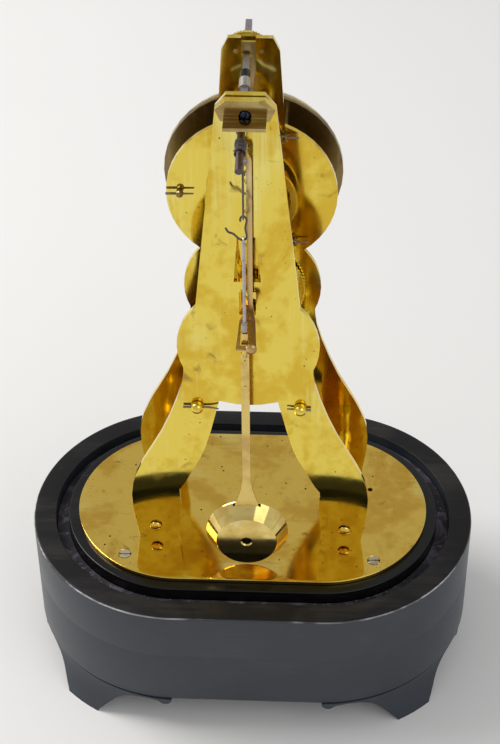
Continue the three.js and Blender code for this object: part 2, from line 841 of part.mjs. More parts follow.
function footPillars() {
  const end = backInner - fitGap;
  const waist = footPillarShares.map((share) => share * end);
  const profile = [
    [0, -end], [footPillarEnd, -end], [footPillarEnd, -waist[0]], [footPillarWaist, -waist[1]],
    [footPillarWaist, -waist[2]], [footPillarKnop, -waist[3]], [footPillarKnop, waist[3]],
    [footPillarWaist, waist[2]], [footPillarWaist, waist[1]], [footPillarEnd, waist[0]],
    [footPillarEnd, end], [0, end],
  ];
  const pedestal = rodZ(pedestalRadius, fitGap - footPillarZ, 0);
  const stud = rodZ(footStudRadius, -basePlateThickness - footPillarZ, 0, 12);
  const ends = [-1, 1].map((side) => {
    const deep = side * (end - legScrewLength);
    const mouth = side * (end + cutOverrun);
    return rod(legScrewShank + fitGap, Math.min(deep, mouth), Math.max(deep, mouth), 12);
  });
  const shape = cut(join(turned(profile, 12), pedestal, stud), ...ends);
  return sideBySide(footPillarX).map((x) =>
    named(`foot_pillar_${sideName(x)}`, shape.clone(), brass, [x, 0, footPillarZ]));
}

function legScrews() {
  const rear = domedScrew(legScrewRadius, legScrewDome, legScrewShank, legScrewLength)
    .translate(0, backOuter + fitGap, 0);
  const front = rear.clone().rotateZ(Math.PI);
  return sideBySide(footPillarX).flatMap((x) => [
    named(`leg_screw_rear_${sideName(x)}`, rear.clone(), brassWarm, [x, 0, footPillarZ]),
    named(`leg_screw_front_${sideName(x)}`, front.clone(), brassWarm, [x, 0, footPillarZ]),
  ]);
}

// Wheels

// A pinion has leaves with a flat top. A wheel of many teeth has pointed ones.
const leafLimit = 12;
const toothShares = { tip: 0.5, root: 0.8, rootWidth: 0.56, tipWidth: 0.2 };

function toothedOutline(teeth, pitchRadius, phase) {
  const unit = 2 * pitchRadius / teeth;
  const tip = pitchRadius + toothShares.tip * unit;
  const root = pitchRadius - toothShares.root * unit;
  const turn = 2 * Math.PI / teeth;
  const flanks = teeth > leafLimit ? [[tip, 0], [root, 1]] : [
    [root, -toothShares.rootWidth], [tip, -toothShares.tipWidth],
    [tip, toothShares.tipWidth], [root, toothShares.rootWidth],
  ];
  const points = [];
  for (let i = 0; i < teeth; i += 1) {
    for (const [radius, width] of flanks) {
      const angle = phase + turn * (i + width / 2);
      points.push([radius * Math.cos(angle), radius * Math.sin(angle)]);
    }
  }
  return outline(points);
}

// Openings between the spokes of a wheel
function crossings(shape, hub, rim) {
  const turn = 2 * Math.PI / spokeCount;
  for (let i = 0; i < spokeCount; i += 1) {
    const inner = Math.asin(spokeWidth / 2 / hub);
    const outer = Math.asin(spokeWidth / 2 / rim);
    const hole = new THREE.Path();
    hole.absarc(0, 0, rim, i * turn + outer, (i + 1) * turn - outer);
    hole.absarc(0, 0, hub, (i + 1) * turn - inner, i * turn + inner, true);
    hole.closePath();
    shape.holes.push(hole);
  }
  return shape;
}

function wheel(teeth, pitchRadius, y, thickness, phase, crossed = true) {
  const shape = toothedOutline(teeth, pitchRadius, phase);
  if (crossed) {
    crossings(shape, hubRadius + spokeWidth / 2, pitchRadius - rimWidth);
  }
  const geometry = new THREE.ExtrudeGeometry(shape, {
    depth: thickness, bevelEnabled: false, curveSegments: 2,
  });
  return geometry.rotateX(Math.PI / 2).translate(0, y + thickness / 2, 0);
}

// Pitch radii of two meshing wheels at a given centre distance
function mesh(distance, teeth, otherTeeth) {
  const whole = teeth + otherTeeth;
  return [distance * teeth / whole, distance * otherTeeth / whole];
}

// A tooth of the driving wheel points at the driven one, which shows it a gap there.
function toothAt(angle) {
  return angle;
}

function gapAt(angle, teeth) {
  return angle + Math.PI / teeth;
}

const up = Math.PI / 2;
const down = -Math.PI / 2;

function depth(y) {
  return frontInner + y;
}

// An arbor between the plates, with pivots at both ends
function arbor(radius, from, to, frontPivot = pivotLength, rearPivot = pivotLength) {
  return turned([
    [0, from - frontPivot], [pivotRadius, from - frontPivot], [pivotRadius, from], [radius, from],
    [radius, to], [pivotRadius, to], [pivotRadius, to + rearPivot], [0, to + rearPivot],
  ], 8);
}

function collet(y) {
  return rod(hubRadius, y - hubLength / 2, y + hubLength / 2, 12);
}

// The pinion of an arbor meshes with the wheel below it.
function pinion(teeth, pitchRadius, y) {
  return wheel(teeth, pitchRadius, y, pinionLength, gapAt(down, teeth), false);
}

function lensArbor() {
  const pinionY = depth(greatY) + wheelThickness / 2;
  return named("intermediate_wheel", join(
    arbor(arborRadius, frontInner + fitGap, innerBridgeY - fitGap),
    pinion(lensPinionTeeth, lensPinionRadius, pinionY),
    wheel(lensTeeth, lensRadius, depth(lensY), wheelThickness, toothAt(up)),
    collet(depth(lensY)),
  ), brass, [0, 0, lensZ]);
}

function centreArbor() {
  const dialFront = dialBackY - dialBackThickness - enamelThickness - 2 * fitGap;
  const frontEnd = dialFront - bezelDepth - handThickness;
  const shaft = turned([
    [0, frontEnd - handGap], [fineArborRadius, frontEnd - handGap], [fineArborRadius, frontOuter - fitGap],
    [arborRadius, frontOuter - fitGap], [arborRadius, innerBridgeY - fitGap],
    [pivotRadius, innerBridgeY - fitGap], [pivotRadius, innerBridgeY + pivotLength],
    [0, innerBridgeY + pivotLength],
  ], 12);
  return named("centre_wheel", join(
    shaft,
    pinion(centrePinionTeeth, centrePinionRadius, depth(lensY)),
    wheel(centreTeeth, centreRadius, depth(centreY), wheelThickness, toothAt(up)),
    collet(depth(centreY)),
  ), brass, [0, 0, centreZ]);
}

function thirdArbor() {
  return named("third_wheel", join(
    arbor(fineArborRadius, frontInner + fitGap, backInner - fitGap),
    pinion(thirdPinionTeeth, thirdPinionRadius, depth(centreY)),
    wheel(thirdTeeth, thirdRadius, depth(thirdY), wheelThickness, toothAt(up)),
    collet(depth(thirdY)),
  ), brass, [0, 0, thirdZ]);
}

const escapeShares = { heel: 0.3 };

function escapeWheelGeometry() {
  const points = [];
  const root = escapeRadius - escapeToothHeight;
  const turn = 2 * Math.PI / escapeTeeth;
  for (let i = 0; i < escapeTeeth; i += 1) {
    const angle = turn * i;
    const heel = angle + turn * escapeShares.heel;
    points.push([escapeRadius * Math.cos(angle), escapeRadius * Math.sin(angle)]);
    points.push([root * Math.cos(heel), root * Math.sin(heel)]);
  }
  const shape = crossings(outline(points), hubRadius, root - spokeWidth / 2);
  const geometry = new THREE.ExtrudeGeometry(shape, {
    depth: escapeThickness, bevelEnabled: false, curveSegments: 1,
  });
  return geometry.rotateX(Math.PI / 2).translate(0, depth(escapeY) + escapeThickness / 2, 0);
}

function escapeArbor() {
  return named("escape_wheel", join(
    arbor(fineArborRadius, frontInner + fitGap, backInner - fitGap),
    pinion(escapePinionTeeth, escapePinionRadius, depth(thirdY)),
    escapeWheelGeometry(),
    collet(depth(escapeY)),
  ), brass, [0, 0, escapeZ]);
}

// Barrel

function barrel() {
  const wheelY = depth(greatY);
  const wallFrom = wheelY + wheelThickness / 2;
  const wallTo = wallFrom + drumDepth;
  const shape = toothedOutline(greatTeeth, greatRadius, toothAt(up));
  const geometry = new THREE.ExtrudeGeometry(shape, { depth: wheelThickness, bevelEnabled: false });
  const gear = geometry.rotateX(Math.PI / 2).translate(0, wallFrom, 0);
  const wall = pipe(drumRadius - drumWall, drumRadius, wheelY, wallTo, 30);
  const arborHole = bore(barrelArborRadius + pivotGap, 0, 0, wheelY - wheelThickness, wallFrom, 16);
  return named("mainspring_barrel", cut(join(gear, wall), arborHole), brass, [0, 0, barrelZ]);
}

function barrelCover() {
  const rear = depth(greatY) + wheelThickness / 2 + drumDepth;
  return named("barrel_cover", pipe(
    barrelArborRadius + pivotGap, drumRadius - drumWall - fitGap, rear - coverThickness, rear, 30,
  ), brassPale, [0, 0, barrelZ]);
}

function mainspring() {
  const from = depth(greatY) + wheelThickness / 2 + fitGap;
  const to = from + drumDepth - coverThickness - 2 * fitGap;
  return named("mainspring", pipe(springInner, springOuter, from, to, 28), steel, [0, 0, barrelZ]);
}

function barrelArbor() {
  const hubFrom = depth(greatY) + wheelThickness / 2 + fitGap;
  const hubTo = hubFrom + drumDepth - coverThickness - 2 * fitGap;
  const shaft = turned([
    [0, frontOuter - fitGap], [barrelPivotRadius, frontOuter - fitGap],
    [barrelPivotRadius, frontInner + fitGap], [barrelArborRadius, frontInner + fitGap],
    [barrelArborRadius, hubFrom], [barrelHubRadius, hubFrom],
    [barrelHubRadius, hubTo], [barrelArborRadius, hubTo], [barrelArborRadius, backInner - fitGap],
    [barrelPivotRadius, backInner - fitGap], [barrelPivotRadius, backOuter], [0, backOuter],
  ], 16);
  const rearFace = frontOuter - fitGap / 2;
  const square = bar(windingSquare, windingSquareLength, windingSquare)
    .rotateY(Math.PI / 4)
    .translate(0, rearFace - windingSquareLength / 2, 0);
  return named("barrel_arbor", join(shaft, square), steel, [0, 0, barrelZ]);
}

// Ratchet wheel, click and click spring on the front plate

const ratchetShares = { face: 0.12, root: 0.86 };

function ratchetWheel() {
  const points = [];
  const turn = 2 * Math.PI / ratchetTeeth;
  const root = ratchetRadius * ratchetShares.root;
  for (let i = 0; i < ratchetTeeth; i += 1) {
    const steep = turn * (i + ratchetShares.face);
    points.push([ratchetRadius * Math.cos(turn * i), ratchetRadius * Math.sin(turn * i)]);
    points.push([root * Math.cos(steep), root * Math.sin(steep)]);
  }
  const shape = outline(points);
  const half = windingSquare / 2 + pivotGap;
  const hole = new THREE.Path([
    new THREE.Vector2(0, -half * Math.SQRT2), new THREE.Vector2(half * Math.SQRT2, 0),
    new THREE.Vector2(0, half * Math.SQRT2), new THREE.Vector2(-half * Math.SQRT2, 0),
  ]);
  shape.holes.push(hole);
  const y = frontOuter - fitGap;
  return named("ratchet_wheel", upright(shape, y - ratchetThickness, y), steel, [0, 0, barrelZ]);
}

function clickPlace() {
  const reach = ratchetRadius + fitGap + clickWidth / 2;
  const along = clickLength - clickWidth;
  const c = Math.cos(clickAngle);
  const s = Math.sin(clickAngle);
  return [reach * c + along * s, barrelZ + reach * s - along * c];
}

const clickShares = { tip: 0.2, nose: 0.9, belly: 0.5 };

// The click is a lever beside the ratchet wheel: its tip rides the tips of the teeth.
function click() {
  const [x, z] = clickPlace();
  const half = clickWidth / 2;
  const length = clickLength - clickWidth;
  const shape = new THREE.Shape();
  shape.moveTo(half * clickShares.tip, length + half * clickShares.nose);
  shape.lineTo(-half, length + half * clickShares.nose);
  shape.lineTo(-half, 0);
  shape.absarc(0, 0, half, Math.PI, 2 * Math.PI);
  shape.lineTo(half, length * clickShares.belly);
  shape.closePath();
  const y = frontOuter - fitGap;
  const body = upright(shape, y - ratchetThickness, y);
  const hole = rod(clickPivotRadius + pivotGap, y - ratchetThickness - cutOverrun, y + cutOverrun, 12);
  const geometry = cut(body, hole);
  geometry.rotateY(-clickAngle);
  return named("click", geometry, steel, [x, 0, z]);
}

function clickScrew() {
  const [x, z] = clickPlace();
  const seat = frontOuter - fitGap - ratchetThickness - fitGap;
  const shoulder = clickHeadDome + ratchetThickness + fitGap;
  const tip = shoulder + plateThickness;
  const profile = [
    [0, 0], [clickHeadRadius, 0], [clickHeadRadius, clickHeadDome],
    [clickPivotRadius, clickHeadDome], [clickPivotRadius, shoulder], [clickShank, shoulder],
    [clickShank, tip], [0, tip],
  ];
  const slot = bar(2 * clickWidth, 2 * slotDepth, slotWidth);
  return named("click_screw", cut(turned(profile, 14), slot), blueSteel, [x, seat - clickHeadDome, z]);
}

function clickSpringPlace() {
  const [x, z] = clickPlace();
  const c = Math.cos(clickAngle);
  const s = Math.sin(clickAngle);
  const out = clickWidth + clickSpringWidth + clickHeadRadius;
  const back = -clickLength / 2;
  return [x + out * c + back * -s, z + out * s + back * c];
}

function clickSpring() {
  const [x, z] = clickSpringPlace();
  const y = frontOuter - fitGap;
  const pad = rod(clickHeadRadius, y - ratchetThickness, y, 14);
  const spigot = rod(clickShank, y - fitGap, frontInner, 12);
  const inner = clickWidth / 2 + clickLift + fitGap - (clickWidth + clickSpringWidth + clickHeadRadius);
  const blade = upright(outline([
    [-clickHeadRadius, 0], [0, 0], [inner + clickSpringWidth, clickLength],
    [inner, clickLength],
  ]), y - ratchetThickness, y);
  const geometry = join(pad, blade, spigot);
  geometry.rotateY(-clickAngle);
  return named("click_spring", geometry, blueSteel, [x, 0, z]);
}

// Inner bridge, held by two spigots in the back plate

function innerSpigotHeights() {
  return [innerBridgeFootZ + innerBridgePad / 2, innerBridgeTopZ - innerBridgePad / 2];
}

function innerBridge() {
  const height = innerBridgeTopZ - innerBridgeFootZ;
  const strap = bar(innerBridgeWidth, innerBridgeThickness, height)
    .translate(0, innerBridgeY + innerBridgeThickness / 2, innerBridgeFootZ + height / 2);
  const padDepth = innerBridgeThickness + innerBridgeStandoff - fitGap;
  const pads = innerSpigotHeights().map((z) =>
    bar(innerBridgeWidth, padDepth, innerBridgePad).translate(0, innerBridgeY + padDepth / 2, z));
  const rear = innerBridgeY + innerBridgeThickness;
  const pivots = [lensZ, centreZ].map((z) => bore(pivotRadius + pivotGap, 0, z, innerBridgeY, rear));
  const spigots = innerSpigotHeights().map((z) =>
    rod(bridgeSpigotRadius, innerBridgeY, backOuter - bridgeSpigotSetback, 12).translate(0, 0, z));
  return named("pivot_bridge", cut(join(strap, ...pads, ...spigots), ...pivots), brass);
}

// Motion work

function studPlace() {
  return [motionDistance * Math.cos(motionStudAngle), centreZ + motionDistance * Math.sin(motionStudAngle)];
}

// In the flat pieces the angle is measured from +X towards +Z.
function cannonPinion() {
  const from = frontOuter - cannonSetting - cannonLength;
  const to = frontOuter - cannonSetting;
  const front = dialBackY - dialBackThickness - enamelThickness - fitGap - handGap;
  const phase = toothAt(motionStudAngle);
  const gear = wheel(cannonTeeth, cannonRadius, (from + to) / 2, cannonLength, phase, false);
  const tube = rod(cannonPipeRadius, front, to, 14);
  const hole = bore(fineArborRadius + pivotGap, 0, 0, front, to, 12);
  return named("cannon_pinion", cut(join(gear, tube), hole), steel, [0, 0, centreZ]);
}

const pinionBodyShares = { body: 0.72 };

function minuteWheel() {
  const y = frontOuter - cannonSetting - cannonLength / 2;
  const phase = gapAt(motionStudAngle + Math.PI, minuteWheelTeeth);
  const large = wheel(minuteWheelTeeth, minuteWheelRadius, y, motionWheelThickness, phase, false);
  const pinionY = frontOuter - hourSetting - motionWheelThickness / 2;
  const leaf = toothAt(motionStudAngle + Math.PI);
  const small = wheel(minutePinionTeeth, minutePinionRadius, pinionY, pinionLength, leaf, false);
  const front = pinionY - pinionLength / 2;
  const tube = rod(minutePinionRadius * pinionBodyShares.body, front, y + motionWheelThickness, 12);
  const hole = bore(studRadius + pivotGap, 0, 0, front, y + motionWheelThickness, 12);
  const [x, z] = studPlace();
  return named("minute_wheel", cut(join(large, small, tube), hole), brass, [x, 0, z]);
}

// The stud of the minute wheel is riveted in the front plate.
function minuteStud() {
  const [x, z] = studPlace();
  const head = frontOuter - hourSetting - motionWheelThickness / 2 - pinionLength / 2 - fitGap;
  return join(
    rod(studRadius, head, frontInner, 12), rod(studRadius + pinRadius, head - pinRadius, head, 12),
  ).translate(x, 0, z);
}

function hourWheel() {
  const y = frontOuter - hourSetting - motionWheelThickness / 2;
  const phase = gapAt(motionStudAngle, hourTeeth);
  const gear = wheel(hourTeeth, hourRadius, y, motionWheelThickness, phase, false);
  const front = dialBackY - dialBackThickness - enamelThickness - handGap;
  const tube = rod(hourPipeRadius, front + handThickness, y + motionWheelThickness / 2, 16);
  const hole = bore(cannonPipeRadius + pivotGap, 0, 0, front, y + motionWheelThickness, 14);
  return named("hour_wheel", cut(join(gear, tube), hole), brass, [0, 0, centreZ]);
}

// Dial

const dialFootShares = [[0.0058, 0.8376], [0.3196, 0.9002], [0.6426, 0.8089]];

function dialFootPlaces() {
  return dialFootShares.map(([turn, share]) => {
    const angle = turn * 2 * Math.PI;
    const reach = share * dialLobeRadius;
    return [reach * Math.cos(angle), centreZ + reach * Math.sin(angle)];
  });
}

const bezelShares = { lip: 0.5, inside: 0.25, outside: 0.3333 };

function dial() {
  const backFront = dialBackY - dialBackThickness;
  const enamelRear = backFront - fitGap;
  const enamelFront = enamelRear - enamelThickness;
  const plate = pipe(dialHoleRadius, dialRadius, backFront, dialBackY, 40);
  const face = pipe(dialHoleRadius, enamelRadius, enamelFront, enamelRear, 40);
  const inner = enamelRadius - bezelWidth * bezelShares.lip;
  const crownInner = inner + bezelWidth * bezelShares.inside;
  const crownOuter = dialRadius - bezelWidth * bezelShares.outside;
  const ring = turned([
    [enamelRadius + fitGap, enamelFront - fitGap], [inner, enamelFront - fitGap],
    [crownInner, enamelFront - bezelDepth], [crownOuter, enamelFront - bezelDepth],
    [dialRadius, enamelFront], [dialRadius, backFront - fitGap],
    [enamelRadius + fitGap, backFront - fitGap], [enamelRadius + fitGap, enamelFront - fitGap],
  ], 40);
  return [
    named("dial_back", join(plate, ...dialFeet()), brass, [0, 0, centreZ]),
    named("dial_enamel", face, enamel, [0, 0, centreZ]),
    named("dial_bezel", ring, brass, [0, 0, centreZ]),
  ];
}

const ballShares = [[0.87, -0.5], [1, 0], [0.87, 0.5], [0.6, 0.8]];

// Three feet are riveted in the back of the dial and end in balls behind the front plate.
function dialFeet() {
  const foot = turned([
    [0, dialBackY - dialBackThickness / 2], [dialFootRadius, dialBackY - dialBackThickness / 2],
    [dialFootRadius, dialBallY - dialFootBall * pillarShares[1]],
    ...ballShares.map(([r, h]) => [dialFootBall * r, dialBallY + dialFootBall * h]),
    [0, dialBallY + dialFootBall],
  ], 8);
  const hole = rod(pinRadius + pivotGap, -dialFootBall - cutOverrun, dialFootBall + cutOverrun, 10)
    .rotateZ(Math.PI / 2).translate(0, dialBallY, 0);
  const drilled = cut(foot, hole);
  return dialFootPlaces().map(([x, z]) => drilled.clone().translate(x, 0, z - centreZ));
}

// Hands: each swells to a leaf and ends in a point

const handShares = [[0.045, 0.1], [0.035, 0.45], [0.11, 0.62], [0.1, 0.7], [0.02, 0.84]];

function hand(name, length, y, holeRadius) {
  const half = handShares.map(([x, z]) => [x * length, z * length]);
  const blade = upright(mirrored([...half, [pinTaper, length]]), y - handThickness, y);
  const hub = rod(handHubRadius + holeRadius, y - handThickness, y, 16);
  const hole = bore(holeRadius + pivotGap, 0, 0, y - handThickness, y, 14);
  return named(name, cut(join(blade, hub), hole), blueSteel, [0, 0, centreZ]);
}

function hands() {
  const enamelFront = dialBackY - dialBackThickness - enamelThickness - fitGap;
  const hourY = enamelFront - handGap + handThickness;
  const minuteY = hourY - handThickness - fitGap - handThickness;
  return [
    hand("hour_hand", enamelRadius * handLengthShares.hour, hourY, hourPipeRadius),
    hand("minute_hand", enamelRadius * handLengthShares.minute, minuteY, cannonPipeRadius),
  ];
}

// Anchor, its arbor and the crutch

// Half the anchor from its pallet's tip: shares of the pallet's width outwards and upwards
const anchorShares = [[-1, 2], [-0.5, 0], [0.5, 0.3333], [1, 3]];

// The anchor and its arbor: in front it turns in the regulator's bridge, and at the rear it runs
// out behind the back plate to carry the crutch.
function palletAnchor() {
  const to = backOuter + crutchStandoff + crutchThickness;
  const from = frontOuter - fitGap - bridgeThickness;
  const y0 = depth(escapeY) - palletThickness / 2;
  const y1 = depth(escapeY) + palletThickness / 2;
  const shaft = turned([
    [0, from], [pivotRadius, from], [pivotRadius, frontInner + fitGap],
    [fineArborRadius, frontInner + fitGap], [fineArborRadius, to], [0, to],
  ], 12);
  const reach = escapeRadius + palletLift;
  const tipX = reach * Math.sin(palletSpanAngle);
  const tipZ = reach * Math.cos(palletSpanAngle) - (palletZ - escapeZ);
  const arm = anchorShares.map(([x, z]) => [tipX + x * palletWidth, tipZ + z * palletWidth]);
  const body = upright(mirrored([
    [palletWidth / 2, -hubRadius], ...arm, [hubRadius + palletWidth, 0], [palletWidth, hubRadius],
  ]), y0, y1);
  return named("pallet_anchor", join(shaft, body, disc(hubRadius, 0, y0, y1, 24)), steel, [0, 0, palletZ]);
}

// The crutch's strip widens into a loop that slopes out round the pendulum's block.
function crutch() {
  const y0 = backOuter + crutchStandoff;
  const y1 = y0 + crutchThickness;
  const middle = (y0 + y1) / 2;
  const drop = (z) => z - palletZ;
  const backHalf = loopBackWidth / 2;
  const shoulderZ = loopZ + crutchShoulderHeight;
  const strip = upright(outline([
    [crutchOffset + crutchWidth / 2, 0], [crutchOffset - crutchWidth / 2, 0],
    [crutchOffset - crutchWidth / 2, drop(shoulderZ)], [loopOffset - backHalf, drop(loopZ)],
    [loopOffset + backHalf, drop(loopZ)], [crutchOffset + crutchWidth / 2, drop(shoulderZ)],
  ]), y0, y1);
  const ring = rod(hubRadius, y0, y1, 16);
  const reach = Math.hypot(loopReach, loopFall);
  const half = crutchThickness / 2;
  const sheet = upright(mirrored([[loopFrontWidth / 2, -reach], [backHalf, 0]]), -half, half)
    .translate(loopOffset, 0, 0);
  const windowHalf = blockWidth / 2 + loopClearance;
  const window = upright(
    mirrored([[windowHalf, loopBar - reach], [windowHalf, -loopRim]]), -half - cutOverrun, half + cutOverrun,
  ).translate(pendulumX, 0, 0);
  const loop = cut(sheet, window).rotateX(Math.atan2(loopReach, loopFall))
    .translate(0, middle, drop(loopZ));
  const boss = turned([[0, 0], ...domed(loopBossRadius, loopBossDome)], 16).translate(
    loopBossOffset, middle + loopReach - half, drop(loopZ - loopFall),
  );
  const hole = bore(fineArborRadius + pivotGap, 0, 0, y0, y1, 12);
  return named("crutch", cut(join(strip, ring, loop, boss), hole), brass, [0, 0, palletZ]);
}

// Pendulum

const silkBendShares = [0.72, 0.36];

function silkLoop() {
  const top = suspensionZ;
  const half = silkSpread;
  const foot = silkFootSpread;
  return named("silk_loop", wire([
    [0, -half, top], [0, -(half + foot) / 2, (top + silkFootZ) / 2], [0, -foot, silkFootZ + 2 * foot],
    [0, -foot * silkBendShares[0], silkFootZ + foot * silkBendShares[1]], [0, 0, silkFootZ],
    [0, foot * silkBendShares[0], silkFootZ + foot * silkBendShares[1]], [0, foot, silkFootZ + 2 * foot],
    [0, (half + foot) / 2, (top + silkFootZ) / 2], [0, half, top],
  ], silkRadius, 18, 6), silk, [pendulumX, pendulumY, 0]);
}

// Points of the hook, sideways and upwards: the bends in shares of the bend's radius, and the
// tail's reach in shares of its own
const hookTopShares = [[0.9, -2], [1, -1], [0, 0], [-1, -1]];
const hookFootShares = [[-1, 1], [0, 0], [1.4, 0.5]];
const hookTailShares = [[0.6, 2.5], [0.85, 3], [1, 4.6]];
const hookWaistShare = 0.6;

const hookTop = silkFootZ + silkRadius + hookWire + 2 * fitGap;
const hookLow = hookTop - hookHeight;

// The hook hangs on the silk by its upper bend, and the hanger's eye hangs in its lower bend.
function hook() {
  const bend = (shares, z) => shares.map(([x, rise]) => [x * hookBend, 0, z + rise * hookBend]);
  return named("suspension_hook", wire([
    ...bend(hookTopShares, hookTop),
    [-hookWaistShare * hookBend, 0, (hookTop + hookLow) / 2],
    ...bend(hookFootShares, hookLow),
    ...hookTailShares.map(([x, rise]) => [x * hookTail, 0, hookLow + rise * hookBend]),
  ], hookWire, 28, 6), steel, [pendulumX, pendulumY, 0]);
}

function hanger() {
  const eyeZ = hookLow - fitGap + pivotGap;
  const ring = new THREE.TorusGeometry(hangerEye, hookWire, 6, 14)
    .rotateY(Math.PI / 2).translate(0, 0, eyeZ);
  const shaft = rodZ(hangerRadius, hangerFootZ, eyeZ - hangerEye, 12);
  const collarZ = blockTopZ + fitGap;
  const collar = rodZ(hangerCollarRadius, collarZ, collarZ + hangerCollarHeight, 12);
  return named("pendulum_hanger", join(ring, shaft, collar), steel, [pendulumX, pendulumY, 0]);
}

const flareShares = [[0.82, 0.28], [0.42, 0.7]];

function pendulumRod() {
  const half = rodWidth / 2;
  const flare = rodFlareWidth / 2;
  const span = rodFlareZ - rodFootZ;
  const blade = upright(mirrored([
    [flare, rodFootZ], [flare * flareShares[0][0], rodFootZ + span * flareShares[0][1]],
    [flare * flareShares[1][0], rodFootZ + span * flareShares[1][1]], [half, rodFlareZ], [half, rodTopZ],
  ]), -rodThickness / 2, rodThickness / 2);
  const neckPiece = rodZ(blockNeckRadius, rodTopZ - half, blockZ + half, 12);
  const block = cut(
    bar(blockWidth, blockWidth, blockHeight).translate(0, 0, blockZ + blockHeight / 2),
    rodZ(hangerRadius + pivotGap, hangerFootZ - fitGap, blockTopZ + cutOverrun, 12),
    rod(blockEyeRadius, -blockWidth, blockWidth, 12).translate(0, 0, blockZ + blockEyeHeight),
  );
  const pins = [rodPinUpperDrop, rodPinLowerDrop].map((drop) =>
    rod(rodPinRadius, -rodThickness, rodThickness, 12).translate(0, 0, rodTopZ - drop));
  const rodPiece = join(blade, neckPiece, block, ...pins);
  return named("pendulum_rod", rodPiece, brassPale, [pendulumX, pendulumY, 0]);
}

function bob() {
  const rimY = -bobRimSetback;
  const body = turned([
    [0, rimY - bobFrontDepth], [bobFaceRadius, rimY - bobFrontDepth], [bobRadius, rimY],
    [bobFaceRadius, rimY + bobBevelDepth], [0, rimY + bobBevelDepth],
  ], 32);
  const slot = bar(rodFlareWidth + 2 * fitGap, rodThickness + 2 * fitGap, bobRadius)
    .translate(0, 0, rodFootZ - fitGap - bobZ + bobRadius / 2);
  const hole = bore(bobHoleRadius, 0, 0, -bobBevelDepth, bobBevelDepth, 16);
  return named("pendulum_bob", cut(body, slot, hole), brass, [pendulumX, pendulumY, bobZ]);
}

// Suspension cock

function cock() {
  const y0 = backOuter + fitGap;
  const y1 = y0 + cockLegThickness;
  const leg = upright(mirrored([
    [cockCornerHalf, cockFootZ], [cockWideHalf, cockFootZ + cockShoulderRise],
    [cockTopHalf, cockFootZ + cockHeight],
  ]), y0, y1);
  const shelf = bar(2 * cockShelfHalf, cockShelfDepth, cockShelfThickness)
    .translate(0, y0 + cockShelfDepth / 2, cockFootZ + cockShelfThickness / 2);
  const hole = bore(cockScrewShank + fitGap, 0, cockScrewZ, y0, y1);
  const seat = rod(cockScrewRadius + fitGap, y1 - cockScrewSeat, y1 + cutOverrun, 24)
    .translate(0, 0, cockScrewZ);
  return named("suspension_cock", cut(join(leg, shelf), hole, seat), brass);
}

function cockScrew() {
  const length = cockLegThickness - cockScrewSeat + plateThickness + fitGap;
  const seatY = backOuter + 2 * fitGap + cockLegThickness - cockScrewSeat;
  const dome = cockScrewDome + cockScrewSeat / 2;
  const screw = domedScrew(cockScrewRadius, dome, cockScrewShank, length);
  return named("cock_screw", screw, blueSteel, [0, seatY, cockScrewZ]);
}

// Regulating arbor: its own frame lies along Y and is tilted as one group

function regulatorAt(y) {
  return regulatorZ - y * regulatorSlope;
}

function regulatorArbor() {
  const roundFrom = backInner - regulatorSquareInset;
  const sleeveTo = -regulatorSleeveY + regulatorSleeveLength;
  const square = bar(regulatorSquare, roundFrom - regulatorFront, regulatorSquare)
    .translate(0, (roundFrom + regulatorFront) / 2, 0);
  return named("regulating_arbor", join(
    square,
    rod(regulatorRadius, roundFrom - regulatorRadius, regulatorRear, 14),
    rod(regulatorSleeveRadius, -regulatorSleeveY, sleeveTo + regulatorRadius, 14),
    rod(regulatorCollarRadius, sleeveTo, sleeveTo + regulatorCollarLength, 14),
  ), steel);
}

function regulatorWheel() {
  const shape = toothedOutline(regulatorWheelTeeth, regulatorWheelRadius, up);
  const side = regulatorSquare / 2 + pivotGap;
  shape.holes.push(new THREE.Path([
    new THREE.Vector2(-side, -side), new THREE.Vector2(side, -side),
    new THREE.Vector2(side, side), new THREE.Vector2(-side, side),
  ]));
  const y = frontOuter - regulatorWheelStandoff;
  const half = regulatorWheelThickness / 2;
  return named("regulator_wheel", upright(shape, y - half, y + half), brass);
}

const windingShares = { swell: 0.9, tube: 0.9 };

// The silk on the arbor is one helix. Its least gap to itself is measured on its points.
function silkWinding() {
  const stepsPerLoop = 24;
  const sides = 6;
  const coil = regulatorRadius + fitGap + silkRadius * windingShares.swell;
  const tube = silkRadius * windingShares.tube;
  const stations = [];
  const axis = [];
  const slope = windingPitch / (2 * Math.PI * coil);
  for (let i = 0; i <= windingLoops * stepsPerLoop; i += 1) {
    const angle = 2 * Math.PI * i / stepsPerLoop;
    const out = new THREE.Vector3(Math.cos(angle), 0, Math.sin(angle));
    const along = new THREE.Vector3(-Math.sin(angle), slope, Math.cos(angle)).normalize();
    const side = new THREE.Vector3().crossVectors(along, out);
    const centre = out.clone().multiplyScalar(coil);
    centre.y = i / stepsPerLoop * windingPitch - windingLength / 2;
    axis.push(centre);
    const ring = [];
    for (let j = 0; j < sides; j += 1) {
      const turn = 2 * Math.PI * j / sides;
      const point = centre.clone()
        .addScaledVector(out, tube * Math.cos(turn))
        .addScaledVector(side, tube * Math.sin(turn));
      ring.push([point.x, point.y, point.z]);
    }
    stations.push(ring);
  }
  let least = Infinity;
  for (let i = 0; i < axis.length; i += 1) {
    for (let j = i + stepsPerLoop / 2; j < axis.length; j += 1) {
      least = Math.min(least, axis[i].distanceTo(axis[j]) - 2 * tube);
    }
  }
  console.log(`silk winding: least gap to itself ${least.toFixed(2)} mm`);
  const y = regulatorRear - windingSetting - windingLength / 2;
  return named("silk_winding", loft(stations), silk, [0, y, 0]);
}

